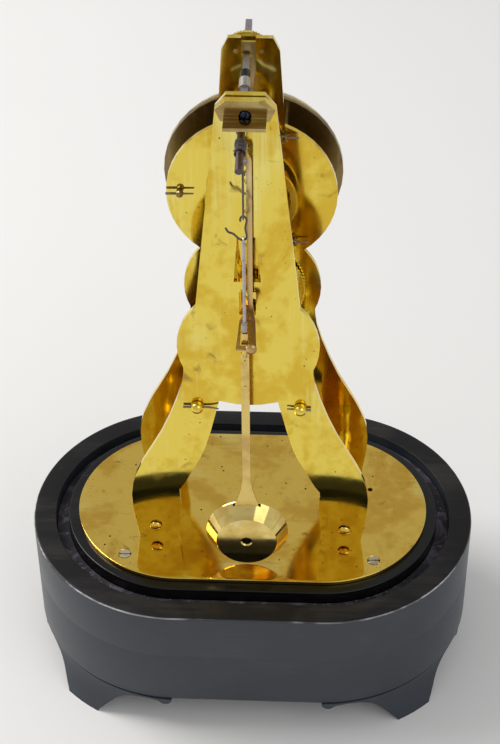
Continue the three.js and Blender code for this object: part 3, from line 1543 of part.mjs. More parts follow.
function regulatorBridge() {
  const y1 = frontOuter - fitGap;
  const y0 = y1 - bridgeThickness;
  const height = bridgeTopZ - bridgeFootZ;
  const strap = bar(bridgeWidth, bridgeThickness, height)
    .translate(headSlotX, (y0 + y1) / 2, bridgeFootZ + height / 2);
  const z = regulatorAt((y0 + y1) / 2);
  const holes = [
    bore(regulatorSquare * Math.SQRT1_2 + fitGap + pivotGap, regulatorX, z, y0, y1, 16),
    bore(pivotRadius + pivotGap, 0, palletZ, y0, y1),
  ];
  const spigots = bridgeSpigotPlaces().map(([x, sz]) =>
    rod(bridgeSpigotRadius, y0, frontInner, 12).translate(x, 0, sz));
  return named("regulator_bridge", cut(join(strap, ...spigots), ...holes), brassPale);
}

function bridgeSpigotPlaces() {
  const side = bridgeWidth / 2 - bridgeSpigotRadius;
  return [
    [headSlotX, bridgeFootZ + bridgeSpigotInset], [headSlotX + side, bridgeTopZ - bridgeSpigotInset],
    [headSlotX - side, bridgeTopZ - bridgeSpigotInset],
  ];
}

function regulator() {
  const set = group([regulatorX, 0, regulatorZ], regulatorArbor(), regulatorWheel(), silkWinding());
  set.rotation.x = -Math.atan(regulatorSlope);
  return set;
}

// The whole clock

const clock = new THREE.Group();
clock.add(...plinth(), ...feet(), basePlate(), ...baseScrews());
clock.add(group([0, 0, baseZ],
  backPlate(), frontPlate(), ...pillars(), ...taperPins(), ...footPillars(), ...legScrews(),
  barrel(), barrelCover(), mainspring(), barrelArbor(), ratchetWheel(),
  click(), clickScrew(), clickSpring(),
  innerBridge(), lensArbor(), centreArbor(), thirdArbor(), escapeArbor(),
  cannonPinion(), minuteWheel(), hourWheel(), ...dial(), ...hands(),
  palletAnchor(), crutch(),
  silkLoop(), hook(), hanger(), pendulumRod(), bob(),
  cock(), cockScrew(), regulator(), regulatorBridge(),
));

export default clock;
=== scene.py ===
"""Looks of a brass skeleton clock on an ebonised oval plinth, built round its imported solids.

Sizes are in millimetres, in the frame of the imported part, and become metres when a piece is made.
The pendulum hangs on the +Y side, which the camera sees, and the dial faces -Y.
"""
import json
import logging
import math
from dataclasses import dataclass
from enum import Enum
from typing import Callable, Sequence

import bmesh
import bpy
from bmesh.types import BMesh, BMEdge, BMVert
from mathutils import Matrix, Vector

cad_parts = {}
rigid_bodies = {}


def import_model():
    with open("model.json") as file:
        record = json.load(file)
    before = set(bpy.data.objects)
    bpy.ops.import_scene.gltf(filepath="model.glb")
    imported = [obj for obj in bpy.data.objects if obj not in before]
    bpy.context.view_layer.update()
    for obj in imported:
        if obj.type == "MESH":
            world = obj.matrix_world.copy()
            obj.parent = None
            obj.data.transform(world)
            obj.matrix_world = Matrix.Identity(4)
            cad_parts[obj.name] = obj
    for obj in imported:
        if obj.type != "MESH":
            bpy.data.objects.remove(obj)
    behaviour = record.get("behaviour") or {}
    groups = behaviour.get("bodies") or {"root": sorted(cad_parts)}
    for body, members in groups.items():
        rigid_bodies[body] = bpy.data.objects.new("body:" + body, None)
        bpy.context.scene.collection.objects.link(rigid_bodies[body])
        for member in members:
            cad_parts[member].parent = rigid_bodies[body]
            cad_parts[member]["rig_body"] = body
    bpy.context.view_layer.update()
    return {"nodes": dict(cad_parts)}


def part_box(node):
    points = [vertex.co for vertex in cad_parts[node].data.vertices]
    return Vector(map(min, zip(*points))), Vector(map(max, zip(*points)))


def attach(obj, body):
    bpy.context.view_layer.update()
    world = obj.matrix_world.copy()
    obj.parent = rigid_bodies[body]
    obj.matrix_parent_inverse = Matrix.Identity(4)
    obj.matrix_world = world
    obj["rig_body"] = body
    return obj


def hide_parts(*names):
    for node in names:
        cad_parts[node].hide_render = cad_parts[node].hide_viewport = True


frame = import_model()

LOG = logging.getLogger("clock")
MM = 0.001
MERGE = 0.004
FLAT = math.radians(0.6)
Colour = tuple[float, float, float]
Point = tuple[float, float, float]
Spot = tuple[float, float]
Profile = Sequence[Spot]


class Slot(Enum):
    """The record's material slots."""

    WOOD = "ebonised_wood"
    GLOSS = "polished_wood"
    VELVET = "velvet"
    BRASS = "brass"
    BRASS_WARM = "brass_warm"
    BRASS_PALE = "brass_pale"
    STEEL = "steel"
    BLUED = "blued_steel"
    ENAMEL = "enamel"
    SILK = "silk"


class Axis(Enum):
    """An axis that a piece points along or turns about."""

    X = "X"
    Y = "Y"
    Z = "Z"


class Letter(Enum):
    """The letters of the Roman numerals, with the width that each takes up."""

    I = 1.5
    V = 3.3
    X = 3.5


# Shader maths


class Value:
    """A number on a node's socket. Arithmetic on it adds Math nodes."""

    def __init__(self, nodes: "Nodes", socket: bpy.types.NodeSocket) -> None:
        """Wraps a socket.

        Args:
            nodes: The tree that holds the node.
            socket: The node's output.
        """
        self.nodes = nodes
        self.socket = socket

    def _with(self, operation: str, first: "Value | float", second: "Value | float") -> "Value":
        """Adds a Math node.

        Args:
            operation: The Math node's operation.
            first: A Value or a number.
            second: A Value or a number.

        Returns:
            The result.
        """
        return self.nodes.value("ShaderNodeMath", {"operation": operation}, {0: first, 1: second})

    def __add__(self, other: "Value | float") -> "Value":
        """Sum."""
        return self._with("ADD", self, other)

    def __radd__(self, other: float) -> "Value":
        """Sum, the number first."""
        return self._with("ADD", other, self)

    def __sub__(self, other: "Value | float") -> "Value":
        """Difference."""
        return self._with("SUBTRACT", self, other)

    def __rsub__(self, other: float) -> "Value":
        """Difference, the number first."""
        return self._with("SUBTRACT", other, self)

    def __mul__(self, other: "Value | float") -> "Value":
        """Product."""
        return self._with("MULTIPLY", self, other)

    def __rmul__(self, other: float) -> "Value":
        """Product, the number first."""
        return self._with("MULTIPLY", other, self)


class Nodes:
    """A node tree under construction."""

    def __init__(self, tree: bpy.types.NodeTree) -> None:
        """Starts with an empty tree.

        Args:
            tree: A material's or the world's tree.
        """
        self.tree = tree
        self.tree.nodes.clear()

    def add(self, kind: str, settings: dict | None = None, inputs: dict | None = None) -> bpy.types.Node:
        """Adds one node.

        Args:
            kind: The node's type.
            settings: Properties to set first; "stops" holds a ramp's positions and colours.
            inputs: Values or links of its sockets, by name or number.

        Returns:
            The node.
        """
        node = self.tree.nodes.new(kind)
        for key, setting in (settings or {}).items():
            if key == "stops":
                self._stops(node.color_ramp, setting)
            else:
                setattr(node, key, setting)
        for key, given in (inputs or {}).items():
            if isinstance(given, Value):
                given = given.socket
            if isinstance(given, bpy.types.NodeSocket):
                self.tree.links.new(given, node.inputs[key])
            else:
                node.inputs[key].default_value = given
        return node

    @staticmethod
    def _stops(ramp: bpy.types.ColorRamp, stops: Sequence[tuple[float, Colour]]) -> None:
        """Sets a new ramp's two stops.

        Args:
            ramp: The ramp.
            stops: The position and colour of each stop.
        """
        for element, (position, colour) in zip(ramp.elements, stops):
            element.position = position
            element.color = (*colour, 1)

    def value(self, kind: str, settings: dict | None = None, inputs: dict | None = None,
              output: int | str = 0) -> Value:
        """Adds a node and wraps one of its outputs."""
        return Value(self, self.add(kind, settings, inputs).outputs[output])


class Shader(Nodes):
    """A node material under construction."""

    def __init__(self, name: str) -> None:
        """Starts an empty material.

        Args:
            name: The material's name.
        """
        self.material = bpy.data.materials.new(name)
        self.material.use_nodes = True
        super().__init__(self.material.node_tree)
        self.place = self.add("ShaderNodeTexCoord").outputs["Object"]

    def noise(self, scale: float, detail: float = 3, stretch: Point = (1, 1, 1),
              distortion: float = 0) -> Value:
        """Noise from 0 to 1.

        Args:
            scale: Blotches to the metre.
            detail: Octaves.
            stretch: Scale of each axis; a small one draws the pattern out along it.
            distortion: How much it swirls.

        Returns:
            The noise.
        """
        drawn = self.add("ShaderNodeMapping", {}, {"Vector": self.place, "Scale": stretch}).outputs[0]
        return self.value("ShaderNodeTexNoise", {}, {
            "Vector": drawn, "Scale": scale, "Detail": detail, "Distortion": distortion,
        })

    def specks(self, scale: float, size: float) -> Value:
        """Scattered round specks: 1 inside a speck and 0 elsewhere.

        Args:
            scale: Cells to the metre.
            size: A speck's share of its cell.

        Returns:
            The mask.
        """
        near = self.value("ShaderNodeTexVoronoi", {}, {"Vector": self.place, "Scale": scale}, "Distance")
        return self.ramp(near, size, size * 0.5)

    def ramp(self, value: Value, start: float, end: float, high: float = 1) -> Value:
        """Maps a value from start..end to 0..high, and holds it there."""
        return self.value("ShaderNodeMapRange", {"interpolation_type": "SMOOTHSTEP"}, {
            "Value": value, "From Min": start, "From Max": end, "To Min": 0, "To Max": high,
        })

    def blend(self, first: Colour | bpy.types.NodeSocket, second: Colour | bpy.types.NodeSocket,
              share: Value) -> bpy.types.NodeSocket:
        """Mixes two colours.

        Args:
            first: The colour where share is 0.
            second: The colour where share is 1.
            share: The factor.

        Returns:
            The colour socket.
        """
        sides = {6: first, 7: second}
        inputs = {key: (*side, 1) if isinstance(side, tuple) else side for key, side in sides.items()}
        return self.add("ShaderNodeMix", {"data_type": "RGBA"}, {0: share, **inputs}).outputs[2]

    def finish(self, colour: bpy.types.NodeSocket, roughness: float | Value, height: Value, depth: float,
               **plain: float) -> bpy.types.Material:
        """Closes the material with one Principled shader.

        Args:
            colour: The base colour's socket.
            roughness: A number or a Value.
            height: The bumps, from 0 to 1.
            depth: The bumps' depth in metres.
            plain: Other sockets by name, with _ for a space.

        Returns:
            The material.
        """
        bump = self.add("ShaderNodeBump", {}, {"Height": height, "Distance": depth, "Strength": 1.0})
        surface = self.add("ShaderNodeBsdfPrincipled", {}, {
            "Base Color": colour, "Roughness": roughness, "Normal": bump.outputs[0],
            **{key.replace("_", " "): given for key, given in plain.items()},
        })
        self.add("ShaderNodeOutputMaterial", {}, {"Surface": surface.outputs[0]})
        return self.material


# Finishes


@dataclass(frozen=True)
class Brass:
    """Hand-polished brass with brush lines, paler and ochre patches, stains and small dark specks."""

    name: str
    colour: Colour
    ochre: Colour
    pale: Colour
    stain: Colour = (0.20, 0.11, 0.03)
    speck: Colour = (0.03, 0.02, 0.012)
    roughness: float = 0.16
    brushed: Point = (1, 1, 0.04)
    streak: Point = (1, 1, 0.12)
    brush_depth: float = 1.2e-6
    wave_depth: float = 2.0e-5
    patches: float = 0.8
    streaks: float = 0.5
    stained: float = 0.6
    specks: float = 0.1

    def material(self) -> bpy.types.Material:
        """Builds the material."""
        s = Shader(self.name)
        lines = s.noise(2600, detail=2, stretch=self.brushed)
        faint = s.noise(520, stretch=self.brushed)
        clouds = s.noise(30, detail=5, stretch=(1, 1, 0.7), distortion=0.9) + 0.3 * s.noise(230, detail=4)
        ochre = s.ramp(clouds - 0.15, 0.43, 0.6, self.patches)
        drifts = s.noise(21, detail=4, stretch=(1, 1, 0.6), distortion=0.7) + 0.2 * faint
        pale = s.ramp(drifts - 0.1, 0.52, 0.68, self.patches)
        base = s.blend(s.blend(self.colour, self.ochre, ochre), self.pale, pale)

        lined = s.ramp(s.noise(24, detail=2, stretch=(1, 1, 0.5), distortion=0.4), 0.42, 0.6)
        bands = s.noise(150, detail=4, stretch=self.streak, distortion=0.3)
        base = s.blend(base, self.ochre, s.ramp(bands, 0.5, 0.72, self.streaks) * lined)
        base = s.blend(base, self.pale, s.ramp(faint, 0.56, 0.74, self.streaks) * lined)

        stains = s.noise(80, detail=6, stretch=(1, 1, 0.8), distortion=1.4)
        stains = s.ramp(stains, 0.62, 0.76, self.stained)
        spots = s.specks(240, self.specks) * s.ramp(s.noise(60, detail=2), 0.45, 0.6)
        pits = s.specks(900, self.specks * 1.6) * s.ramp(s.noise(75, distortion=0.5), 0.54, 0.66)
        base = s.blend(s.blend(base, self.stain, stains), self.speck, s.ramp(spots + pits, 0.2, 0.9))

        rough = self.roughness + 0.05 * lines + 0.05 * ochre + 0.16 * stains
        waves = s.noise(26, detail=1) * (self.wave_depth / self.brush_depth)
        return s.finish(base, rough, lines + waves + 0.5 * faint, self.brush_depth, Metallic=1.0)


@dataclass(frozen=True)
class Steel:
    """Drawn or hardened steel with fine lines and a little rust bloom."""

    name: str
    colour: Colour
    bloom: Colour
    roughness: float = 0.28
    drawn: Point = (1, 0.06, 1)
    line_depth: float = 2e-6

    def material(self) -> bpy.types.Material:
        """Builds the material."""
        s = Shader(self.name)
        lines = s.noise(3000, detail=2, stretch=self.drawn)
        bloom = s.ramp(s.noise(420, detail=4, distortion=0.8), 0.5, 0.75, 0.7)
        base = s.blend(self.colour, self.bloom, bloom)
        rough = self.roughness + 0.12 * lines + 0.2 * bloom
        return s.finish(base, rough, lines, self.line_depth, Metallic=1.0)


@dataclass(frozen=True)
class Ebonised:
    """Black-stained wood under worn polish, with pores, rubs, scuffs and dust; where it is given a pale
    rubbed colour, as on the rim's edge, the rubs are a painted highlight.
    """

    name: str
    colour: Colour
    # Rubbed colour: real rubs, and on the rim's edge a painted highlight.
    rubbed: Colour
    scuffed: Colour = (0.2, 0.19, 0.18)
    roughness: float = 0.32
    coat: float = 0.35
    coat_roughness: float = 0.18
    dust: float = 0.35
    sheen: float = 0.5
    pore_depth: float = 1.2e-5

    def material(self) -> bpy.types.Material:
        """Builds the material."""
        s = Shader(self.name)
        grain = s.noise(700, stretch=(0.05, 0.7, 1), distortion=0.3)
        cloud = s.noise(40, detail=4, stretch=(0.7, 1, 1), distortion=0.5)
        # The rubbed colour mixes in here: real rubs on most pieces, a painted highlight on the rim's edge.
        rub_and_highlight = s.ramp(cloud + 0.35 * grain, 0.62, 0.95, self.dust)
        scuff = s.ramp(s.noise(900, detail=2, stretch=(0.12, 1, 1), distortion=1.5), 0.68, 0.8)
        scuffs = scuff * s.ramp(s.noise(55, detail=2), 0.5, 0.62, 0.3)
        base = s.blend(s.blend(self.colour, self.rubbed, rub_and_highlight), self.scuffed, scuffs)
        rough = self.roughness + 0.14 * cloud + 0.1 * rub_and_highlight + 0.08 * grain
        return s.finish(base, rough, grain + 0.6 * scuff, self.pore_depth, Coat_Weight=self.coat,
                        Coat_Roughness=self.coat_roughness, Specular_IOR_Level=self.sheen)


@dataclass(frozen=True)
class Velvet:
    """Worn velvet in the groove, with bare rubbed places and lint."""

    name: str
    colour: Colour
    worn: Colour
    lint: Colour = (0.36, 0.33, 0.40)
    roughness: float = 0.95
    pile_depth: float = 2.5e-4

    def material(self) -> bpy.types.Material:
        """Builds the material."""
        s = Shader(self.name)
        pile = s.noise(2400, detail=2)
        wear = s.ramp(s.noise(130, detail=5, distortion=0.8), 0.45, 0.7)
        lint = s.specks(760, 0.22) * s.ramp(s.noise(90), 0.42, 0.6)
        base = s.blend(s.blend(self.colour, self.worn, wear), self.lint, lint)
        return s.finish(base, self.roughness, pile + 0.8 * wear, self.pile_depth, Sheen_Weight=0.2,
                        Sheen_Roughness=0.5)


@dataclass(frozen=True)
class Enamel:
    """Fired enamel: off-white, glossy, a little uneven, with a few pits."""

    name: str
    colour: Colour
    cream: Colour
    pitted: Colour = (0.4, 0.36, 0.3)
    roughness: float = 0.12
    ripple_depth: float = 6e-6

    def material(self) -> bpy.types.Material:
        """Builds the material."""
        s = Shader(self.name)
        cloud = s.noise(60)
        base = s.blend(s.blend(self.colour, self.cream, cloud), self.pitted, s.specks(700, 0.05))
        return s.finish(base, self.roughness + 0.06 * cloud, s.noise(380, detail=1), self.ripple_depth,
                        Coat_Weight=0.6, Coat_Roughness=0.05)


@dataclass(frozen=True)
class Paint:
    """Black painted numerals and marks, a little uneven."""

    name: str
    colour: Colour
    faded: Colour = (0.06, 0.055, 0.05)
    roughness: float = 0.3
    brush_depth: float = 4e-6

    def material(self) -> bpy.types.Material:
        """Builds the material."""
        s = Shader(self.name)
        cloud = s.noise(900)
        base = s.blend(self.colour, self.faded, s.ramp(cloud, 0.4, 0.8))
        return s.finish(base, self.roughness + 0.2 * cloud, cloud, self.brush_depth)


@dataclass(frozen=True)
class Silk:
    """Twisted silk thread, dark with a faint shine."""

    name: str
    colour: Colour
    light: Colour
    roughness: float = 0.5
    strand_depth: float = 1e-4

    def material(self) -> bpy.types.Material:
        """Builds the material."""
        s = Shader(self.name)
        strands = s.noise(5200, detail=2, stretch=(1, 0.35, 0.6))
        base = s.blend(self.colour, self.light, s.ramp(strands, 0.45, 0.75))
        return s.finish(base, self.roughness + 0.2 * strands, strands, self.strand_depth, Sheen_Weight=0.3)


@dataclass(frozen=True)
class Card:
    """Pale matt card for the floor, a little uneven."""

    name: str
    colour: Colour
    shade: float = 0.965
    roughness: float = 0.7
    grain_depth: float = 2e-5

    def material(self) -> bpy.types.Material:
        """Builds the material."""
        s = Shader(self.name)
        cloud = s.noise(6, detail=4)
        base = s.blend(self.colour, tuple(self.shade * c for c in self.colour), cloud)
        return s.finish(base, self.roughness + 0.1 * cloud, s.noise(900, detail=2), self.grain_depth)


class Finishes:
    """Every finish of the clock, each made once."""

    def __init__(self) -> None:
        """Builds the materials."""
        yellow = {"colour": (0.83, 0.65, 0.11), "ochre": (0.69, 0.45, 0.035), "pale": (0.87, 0.80, 0.27)}
        self.plate = Brass("brass_plate", **yellow, roughness=0.045).material()
        self.dull = Brass(
            "brass_dial_back", colour=(0.26, 0.19, 0.08), ochre=(0.15, 0.095, 0.03), pale=(0.36, 0.29, 0.15),
            roughness=0.26, specks=0.05).material()
        self.base = Brass(
            "brass_base", colour=(0.81, 0.56, 0.11), ochre=(0.63, 0.37, 0.05), pale=(0.86, 0.70, 0.21),
            brushed=(0.1, 1, 1), streak=(0.4, 1, 1), streaks=0.2, roughness=0.05, specks=0.14).material()
        # Darker brass used as painted shade on the cock's flats and shelf and on the dial's bezel.
        self.shaded_brass = Brass(
            "brass_painted_dark", colour=(0.48, 0.37, 0.15), ochre=(0.33, 0.21, 0.07), pale=(0.64, 0.53, 0.29),
            brushed=(0.04, 1, 1), streak=(0.12, 1, 1), roughness=0.1, streaks=0.8, specks=0.06).material()
        self.turned = Brass(
            "brass_turned", **yellow, roughness=0.1, brushed=(1, 0.5, 1), streak=(1, 0.5, 1),
            wave_depth=6e-6, patches=0.3, streaks=0.2, specks=0.06).material()
        self.wheel = Brass(
            "brass_wheel", **yellow, roughness=0.2, brushed=(1, 1, 1), streak=(1, 1, 1),
            wave_depth=4e-6, patches=0.45, streaks=0.3, specks=0.05).material()
        self.pale = Brass(
            "brass_pale", colour=(0.80, 0.63, 0.30), ochre=(0.6, 0.42, 0.16), pale=(0.86, 0.78, 0.55),
            roughness=0.18, wave_depth=1e-5, streaks=0.3, specks=0.05).material()
        self.rod = Brass(
            "brass_rod", colour=(0.76, 0.57, 0.19), ochre=(0.54, 0.35, 0.12), pale=(0.86, 0.76, 0.42),
            roughness=0.2, wave_depth=1e-5, streaks=0.35, specks=0.06).material()
        self.strip = Brass(
            "brass_crutch", colour=(0.62, 0.43, 0.19), ochre=(0.40, 0.24, 0.09), pale=(0.80, 0.66, 0.38),
            roughness=0.16, wave_depth=1e-5, streaks=0.35, specks=0.05).material()
        self.bob = Brass(
            "brass_bob", colour=(0.82, 0.64, 0.22), ochre=(0.62, 0.42, 0.11), pale=(0.89, 0.81, 0.52),
            roughness=0.045, brushed=(1, 0.6, 1), streak=(1, 0.6, 1), brush_depth=1e-6, wave_depth=5e-6,
            streaks=0.2, specks=0.05).material()
        # Near-black brass used as painted shade on the screw heads' sides and slots and on the bob's hole
        # wall.
        self.painted_shade = Brass(
            "brass_painted_shade", colour=(0.06, 0.045, 0.025), ochre=(0.03, 0.02, 0.01), pale=(0.1, 0.08, 0.05),
            roughness=0.5).material()
        self.steel = Steel("grey_steel", (0.36, 0.345, 0.36), (0.17, 0.13, 0.11)).material()
        self.hanger = Steel(
            "pale_steel", (0.46, 0.425, 0.44), (0.27, 0.22, 0.20), roughness=0.26,
            drawn=(1, 1, 0.06)).material()
        self.screw = Steel(
            "pale_screw", (0.62, 0.55, 0.40), (0.26, 0.19, 0.11), roughness=0.24, drawn=(1, 1, 1)).material()
        self.collar = Steel("collar_steel", (0.44, 0.42, 0.39), (0.16, 0.13, 0.11), roughness=0.3).material()
        self.pin = Steel("pin_steel", (0.23, 0.205, 0.19), (0.11, 0.08, 0.055), roughness=0.3).material()
        self.tip = Steel("arbor_tip", (0.12, 0.095, 0.10), (0.06, 0.04, 0.04), roughness=0.34).material()
        self.blued = Steel("blued_steel", (0.03, 0.04, 0.09), (0.05, 0.035, 0.03), roughness=0.2).material()
        self.side = Ebonised(
            "ebonised_side", (0.014, 0.020, 0.030), (0.050, 0.060, 0.078), roughness=0.36,
            coat=0.15).material()
        self.land = Ebonised(
            "ebonised_land", (0.005, 0.005, 0.006), (0.036, 0.032, 0.029), roughness=0.3, coat=0.0,
            dust=0.6, sheen=0.22).material()
        # A painted highlight: the pale bluish rubbed colour stands for light caught along the rim's outer
        # edge.
        self.worn = Ebonised(
            "painted_edge_highlight", (0.016, 0.018, 0.022), (0.8, 0.8, 0.88), roughness=0.26, coat=0.3,
            dust=0.85).material()
        self.gloss = Ebonised(
            "polished_step", (0.003, 0.003, 0.003), (0.014, 0.013, 0.012), roughness=0.12, coat=0.0,
            dust=0.3, sheen=0.3).material()
        self.velvet = Velvet("worn_velvet", (0.010, 0.008, 0.012), (0.085, 0.072, 0.10)).material()
        self.enamel = Enamel("white_enamel", (0.84, 0.83, 0.78), (0.80, 0.77, 0.69)).material()
        self.paint = Paint("black_paint", (0.012, 0.012, 0.013)).material()
        self.silk = Silk("dark_silk", (0.022, 0.015, 0.018), (0.20, 0.15, 0.15)).material()


# Mesh making


@dataclass(frozen=True)
class Span:
    """The box of a CAD node, in millimetres."""

    low: Vector
    high: Vector

    @classmethod
    def of(cls, node: str) -> "Span":
        """Reads a node's box from the frame."""
        low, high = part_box(node)
        return cls(low / MM, high / MM)

    @property
    def centre(self) -> Vector:
        """The middle of the box."""
        return (self.low + self.high) / 2

    @property
    def size(self) -> Vector:
        """The box's lengths."""
        return self.high - self.low


def linked(name: str, data: bpy.types.ID) -> bpy.types.Object:
    """Puts some data in the scene as an object.

    Args:
        name: The object's name.
        data: Its mesh, curve, lamp or camera.

    Returns:
        The object, at the origin.
    """
    made = bpy.data.objects.new(name, data)
    bpy.context.scene.collection.objects.link(made)
    return made


def meshed(name: str, bm: BMesh) -> bpy.types.Mesh:
    """Turns a shape into a mesh.

    Args:
        name: The mesh's name.
        bm: The shape, which is freed.

    Returns:
        The mesh.
    """
    mesh = bpy.data.meshes.new(name)
    bm.to_mesh(mesh)
    bm.free()
    return mesh


def settled(held: bpy.types.Object) -> BMesh:
    """The shape of an object with its modifiers or its curve's thickness applied.

    Args:
        held: The object.

    Returns:
        The shape.
    """
    evaluated = held.evaluated_get(bpy.context.evaluated_depsgraph_get())
    bm = bmesh.new()
    bm.from_mesh(evaluated.to_mesh())
    evaluated.to_mesh_clear()
    return bm


@dataclass
class Piece:
    """One visible piece: its mesh in millimetres, its finish, its body and the nodes it stands for."""

    name: str
    bm: BMesh
    material: bpy.types.Material
    body: str
    slot: Slot
    replaces: Sequence[str] = ()
    bevel: float = 0.0
    crease: float = 34.0

    def make(self) -> bpy.types.Object:
        """Turns the mesh into an object of the scene.

        Returns:
            The object, at the origin.
        """
        bmesh.ops.remove_doubles(self.bm, verts=self.bm.verts, dist=MERGE)
        bmesh.ops.recalc_face_normals(self.bm, faces=self.bm.faces)
        bmesh.ops.scale(self.bm, vec=(MM, MM, MM), verts=self.bm.verts)
        mesh = meshed(self.name, self.bm)
        mesh.polygons.foreach_set("use_smooth", [True] * len(mesh.polygons))
        mesh.set_sharp_from_angle(angle=math.radians(self.crease))
        mesh.materials.append(self.material)
        made = linked(self.name, mesh)
        if self.bevel:
            edge = made.modifiers.new("edge", "BEVEL")
            edge.width = self.bevel * MM
            edge.segments = 2
            edge.limit_method = "ANGLE"
            edge.angle_limit = math.radians(self.crease)
            edge.harden_normals = True
            edge.use_clamp_overlap = True
        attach(made, self.body)
        if self.replaces:
            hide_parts(*self.replaces)
        LOG.info("%s: %d faces on %s", self.name, len(mesh.polygons), self.body)
        return made


def refined(node: str, material: bpy.types.Material, slot: Slot, bevel: float) -> bpy.types.Object:
    """Makes a crisp copy of a CAD node with merged faces and softened edges.

    Args:
        node: The CAD node, which the copy replaces.
        material: Its finish.
        slot: Its material slot.
        bevel: Width of its softened edges.

    Returns:
        The object.
    """
    solid = frame["nodes"][node]
    bm = bmesh.new()
    bm.from_mesh(solid.data)
    bmesh.ops.scale(bm, vec=(1 / MM, 1 / MM, 1 / MM), verts=bm.verts)
    bmesh.ops.remove_doubles(bm, verts=bm.verts, dist=MERGE)
    bmesh.ops.dissolve_limit(bm, angle_limit=FLAT, verts=bm.verts, edges=bm.edges)
    return Piece(f"{node}_fine", bm, material, solid["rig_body"], slot, [node], bevel).make()


def dressed(made: bpy.types.Object, others: Sequence[bpy.types.Material],
            choose: Callable[[bpy.types.MeshPolygon], int]) -> None:
    """Gives some faces of a piece other finishes.

    Args:
        made: The piece.
        others: Its other finishes, numbered from 1; 0 is its own.
        choose: Gives the number of a face's finish.
    """
    for material in others:
        made.data.materials.append(material)
    for face in made.data.polygons:
        face.material_index = choose(face)


def shifted(bm: BMesh, by: Sequence[float]) -> BMesh:
    """Moves a shape and gives it back."""
    bmesh.ops.translate(bm, vec=by, verts=bm.verts)
    return bm


def rotated(bm: BMesh, angle: float, axis: Axis) -> BMesh:
    """Turns a shape about an axis through zero and gives it back."""
    bmesh.ops.rotate(bm, verts=bm.verts, cent=(0, 0, 0), matrix=Matrix.Rotation(angle, 3, axis.value))
    return bm


def turned(profile: Profile, segments: int = 48, axis: Axis = Axis.Y) -> BMesh:
    """Spins a profile round an axis.

    Args:
        profile: Radius and place along the axis, from one end to the other, or round to its start.
        segments: Steps of the turn.
        axis: Y or Z.

    Returns:
        The closed shape.
    """
    points, first, last = list(profile), profile[0], profile[-1]
    if first != last:
        points = [(0.0, first[1])] * (first[0] > 0) + points + [(0.0, last[1])] * (last[0] > 0)
    bm = bmesh.new()
    verts = [bm.verts.new((r, 0, z)) for r, z in points]
    for a, b in zip(verts, verts[1:]):
        bm.edges.new((a, b))
    bmesh.ops.spin(bm, geom=[*bm.verts, *bm.edges], cent=(0, 0, 0), axis=(0, 0, 1), angle=2 * math.pi,
                   steps=segments, use_merge=True, use_duplicate=False)
    bmesh.ops.remove_doubles(bm, verts=bm.verts, dist=1e-4)
    bmesh.ops.recalc_face_normals(bm, faces=bm.faces)
    return rotated(bm, -math.pi / 2, Axis.X) if axis is Axis.Y else bm


def joined(*shapes: BMesh) -> BMesh:
    """Puts several shapes in one mesh.

    Args:
        shapes: The shapes, which are freed.

    Returns:
        The mesh that holds them all.
    """
    whole = bmesh.new()
    for shape in shapes:
        mesh = meshed("part", shape)
        whole.from_mesh(mesh)
        bpy.data.meshes.remove(mesh)
    return whole


def carved(shape: BMesh, *tools: BMesh) -> BMesh:
    """Cuts tools out of a shape.

    Args:
        shape: The shape, which is freed.
        tools: The shapes to cut away, which are freed.

    Returns:
        What is left.
    """
    for bm in (shape, *tools):
        bmesh.ops.recalc_face_normals(bm, faces=bm.faces)
    body, *cutters = [linked("scratch", meshed("scratch", bm)) for bm in (shape, *tools)]
    for cutter in cutters:
        cut = body.modifiers.new("cut", "BOOLEAN")
        cut.operation = "DIFFERENCE"
        cut.solver = "EXACT"
        cut.object = cutter
    left = settled(body)
    for held in (body, *cutters):
        bpy.data.objects.remove(held)
    return left


def wire(name: str, radius: float, sides: int) -> bpy.types.Curve:
    """Starts a round wire with closed ends.

    Args:
        name: The curve's name.
        radius: The wire's radius.
        sides: Steps of a quarter of its round.

    Returns:
        The curve, without a path.
    """
    data = bpy.data.curves.new(name, "CURVE")
    data.dimensions = "3D"
    data.bevel_depth = radius
    data.bevel_resolution = sides
    data.use_fill_caps = True
    return data


def tube(points: Sequence[Point], radius: float, taper: Sequence[float] = (), smooth: bool = True,
         sides: int = 5) -> BMesh:
    """A round wire along a path.

    Args:
        points: The path.
        radius: The wire's radius.
        taper: Its radius at each point as a share, or nothing.
        smooth: Whether the path curves through its points.
        sides: Steps of a quarter of its round.

    Returns:
        The closed shape.
    """
    data = wire("wire", radius, sides)
    data.resolution_u = 10
    line = data.splines.new("BEZIER")
    line.bezier_points.add(len(points) - 1)
    for i, (knot, place) in enumerate(zip(line.bezier_points, points)):
        knot.co = place
        knot.handle_left_type = knot.handle_right_type = "AUTO" if smooth else "VECTOR"
        knot.radius = taper[i] if taper else 1.0
    held = linked("wire", data)
    bm = settled(held)
    bpy.data.objects.remove(held)
    bpy.data.curves.remove(data)
    bmesh.ops.remove_doubles(bm, verts=bm.verts, dist=1e-3)
    return bm


def block(low: Sequence[float], high: Sequence[float]) -> BMesh:
    """A block between two corners.

    Args:
        low: Its lowest corner.
        high: Its highest corner.

    Returns:
        The closed shape.
    """
    bm = bmesh.new()
    bmesh.ops.create_cube(bm, size=1)
    lo, hi = Vector(low), Vector(high)
    bmesh.ops.scale(bm, vec=hi - lo, verts=bm.verts)
    return shifted(bm, (lo + hi) / 2)


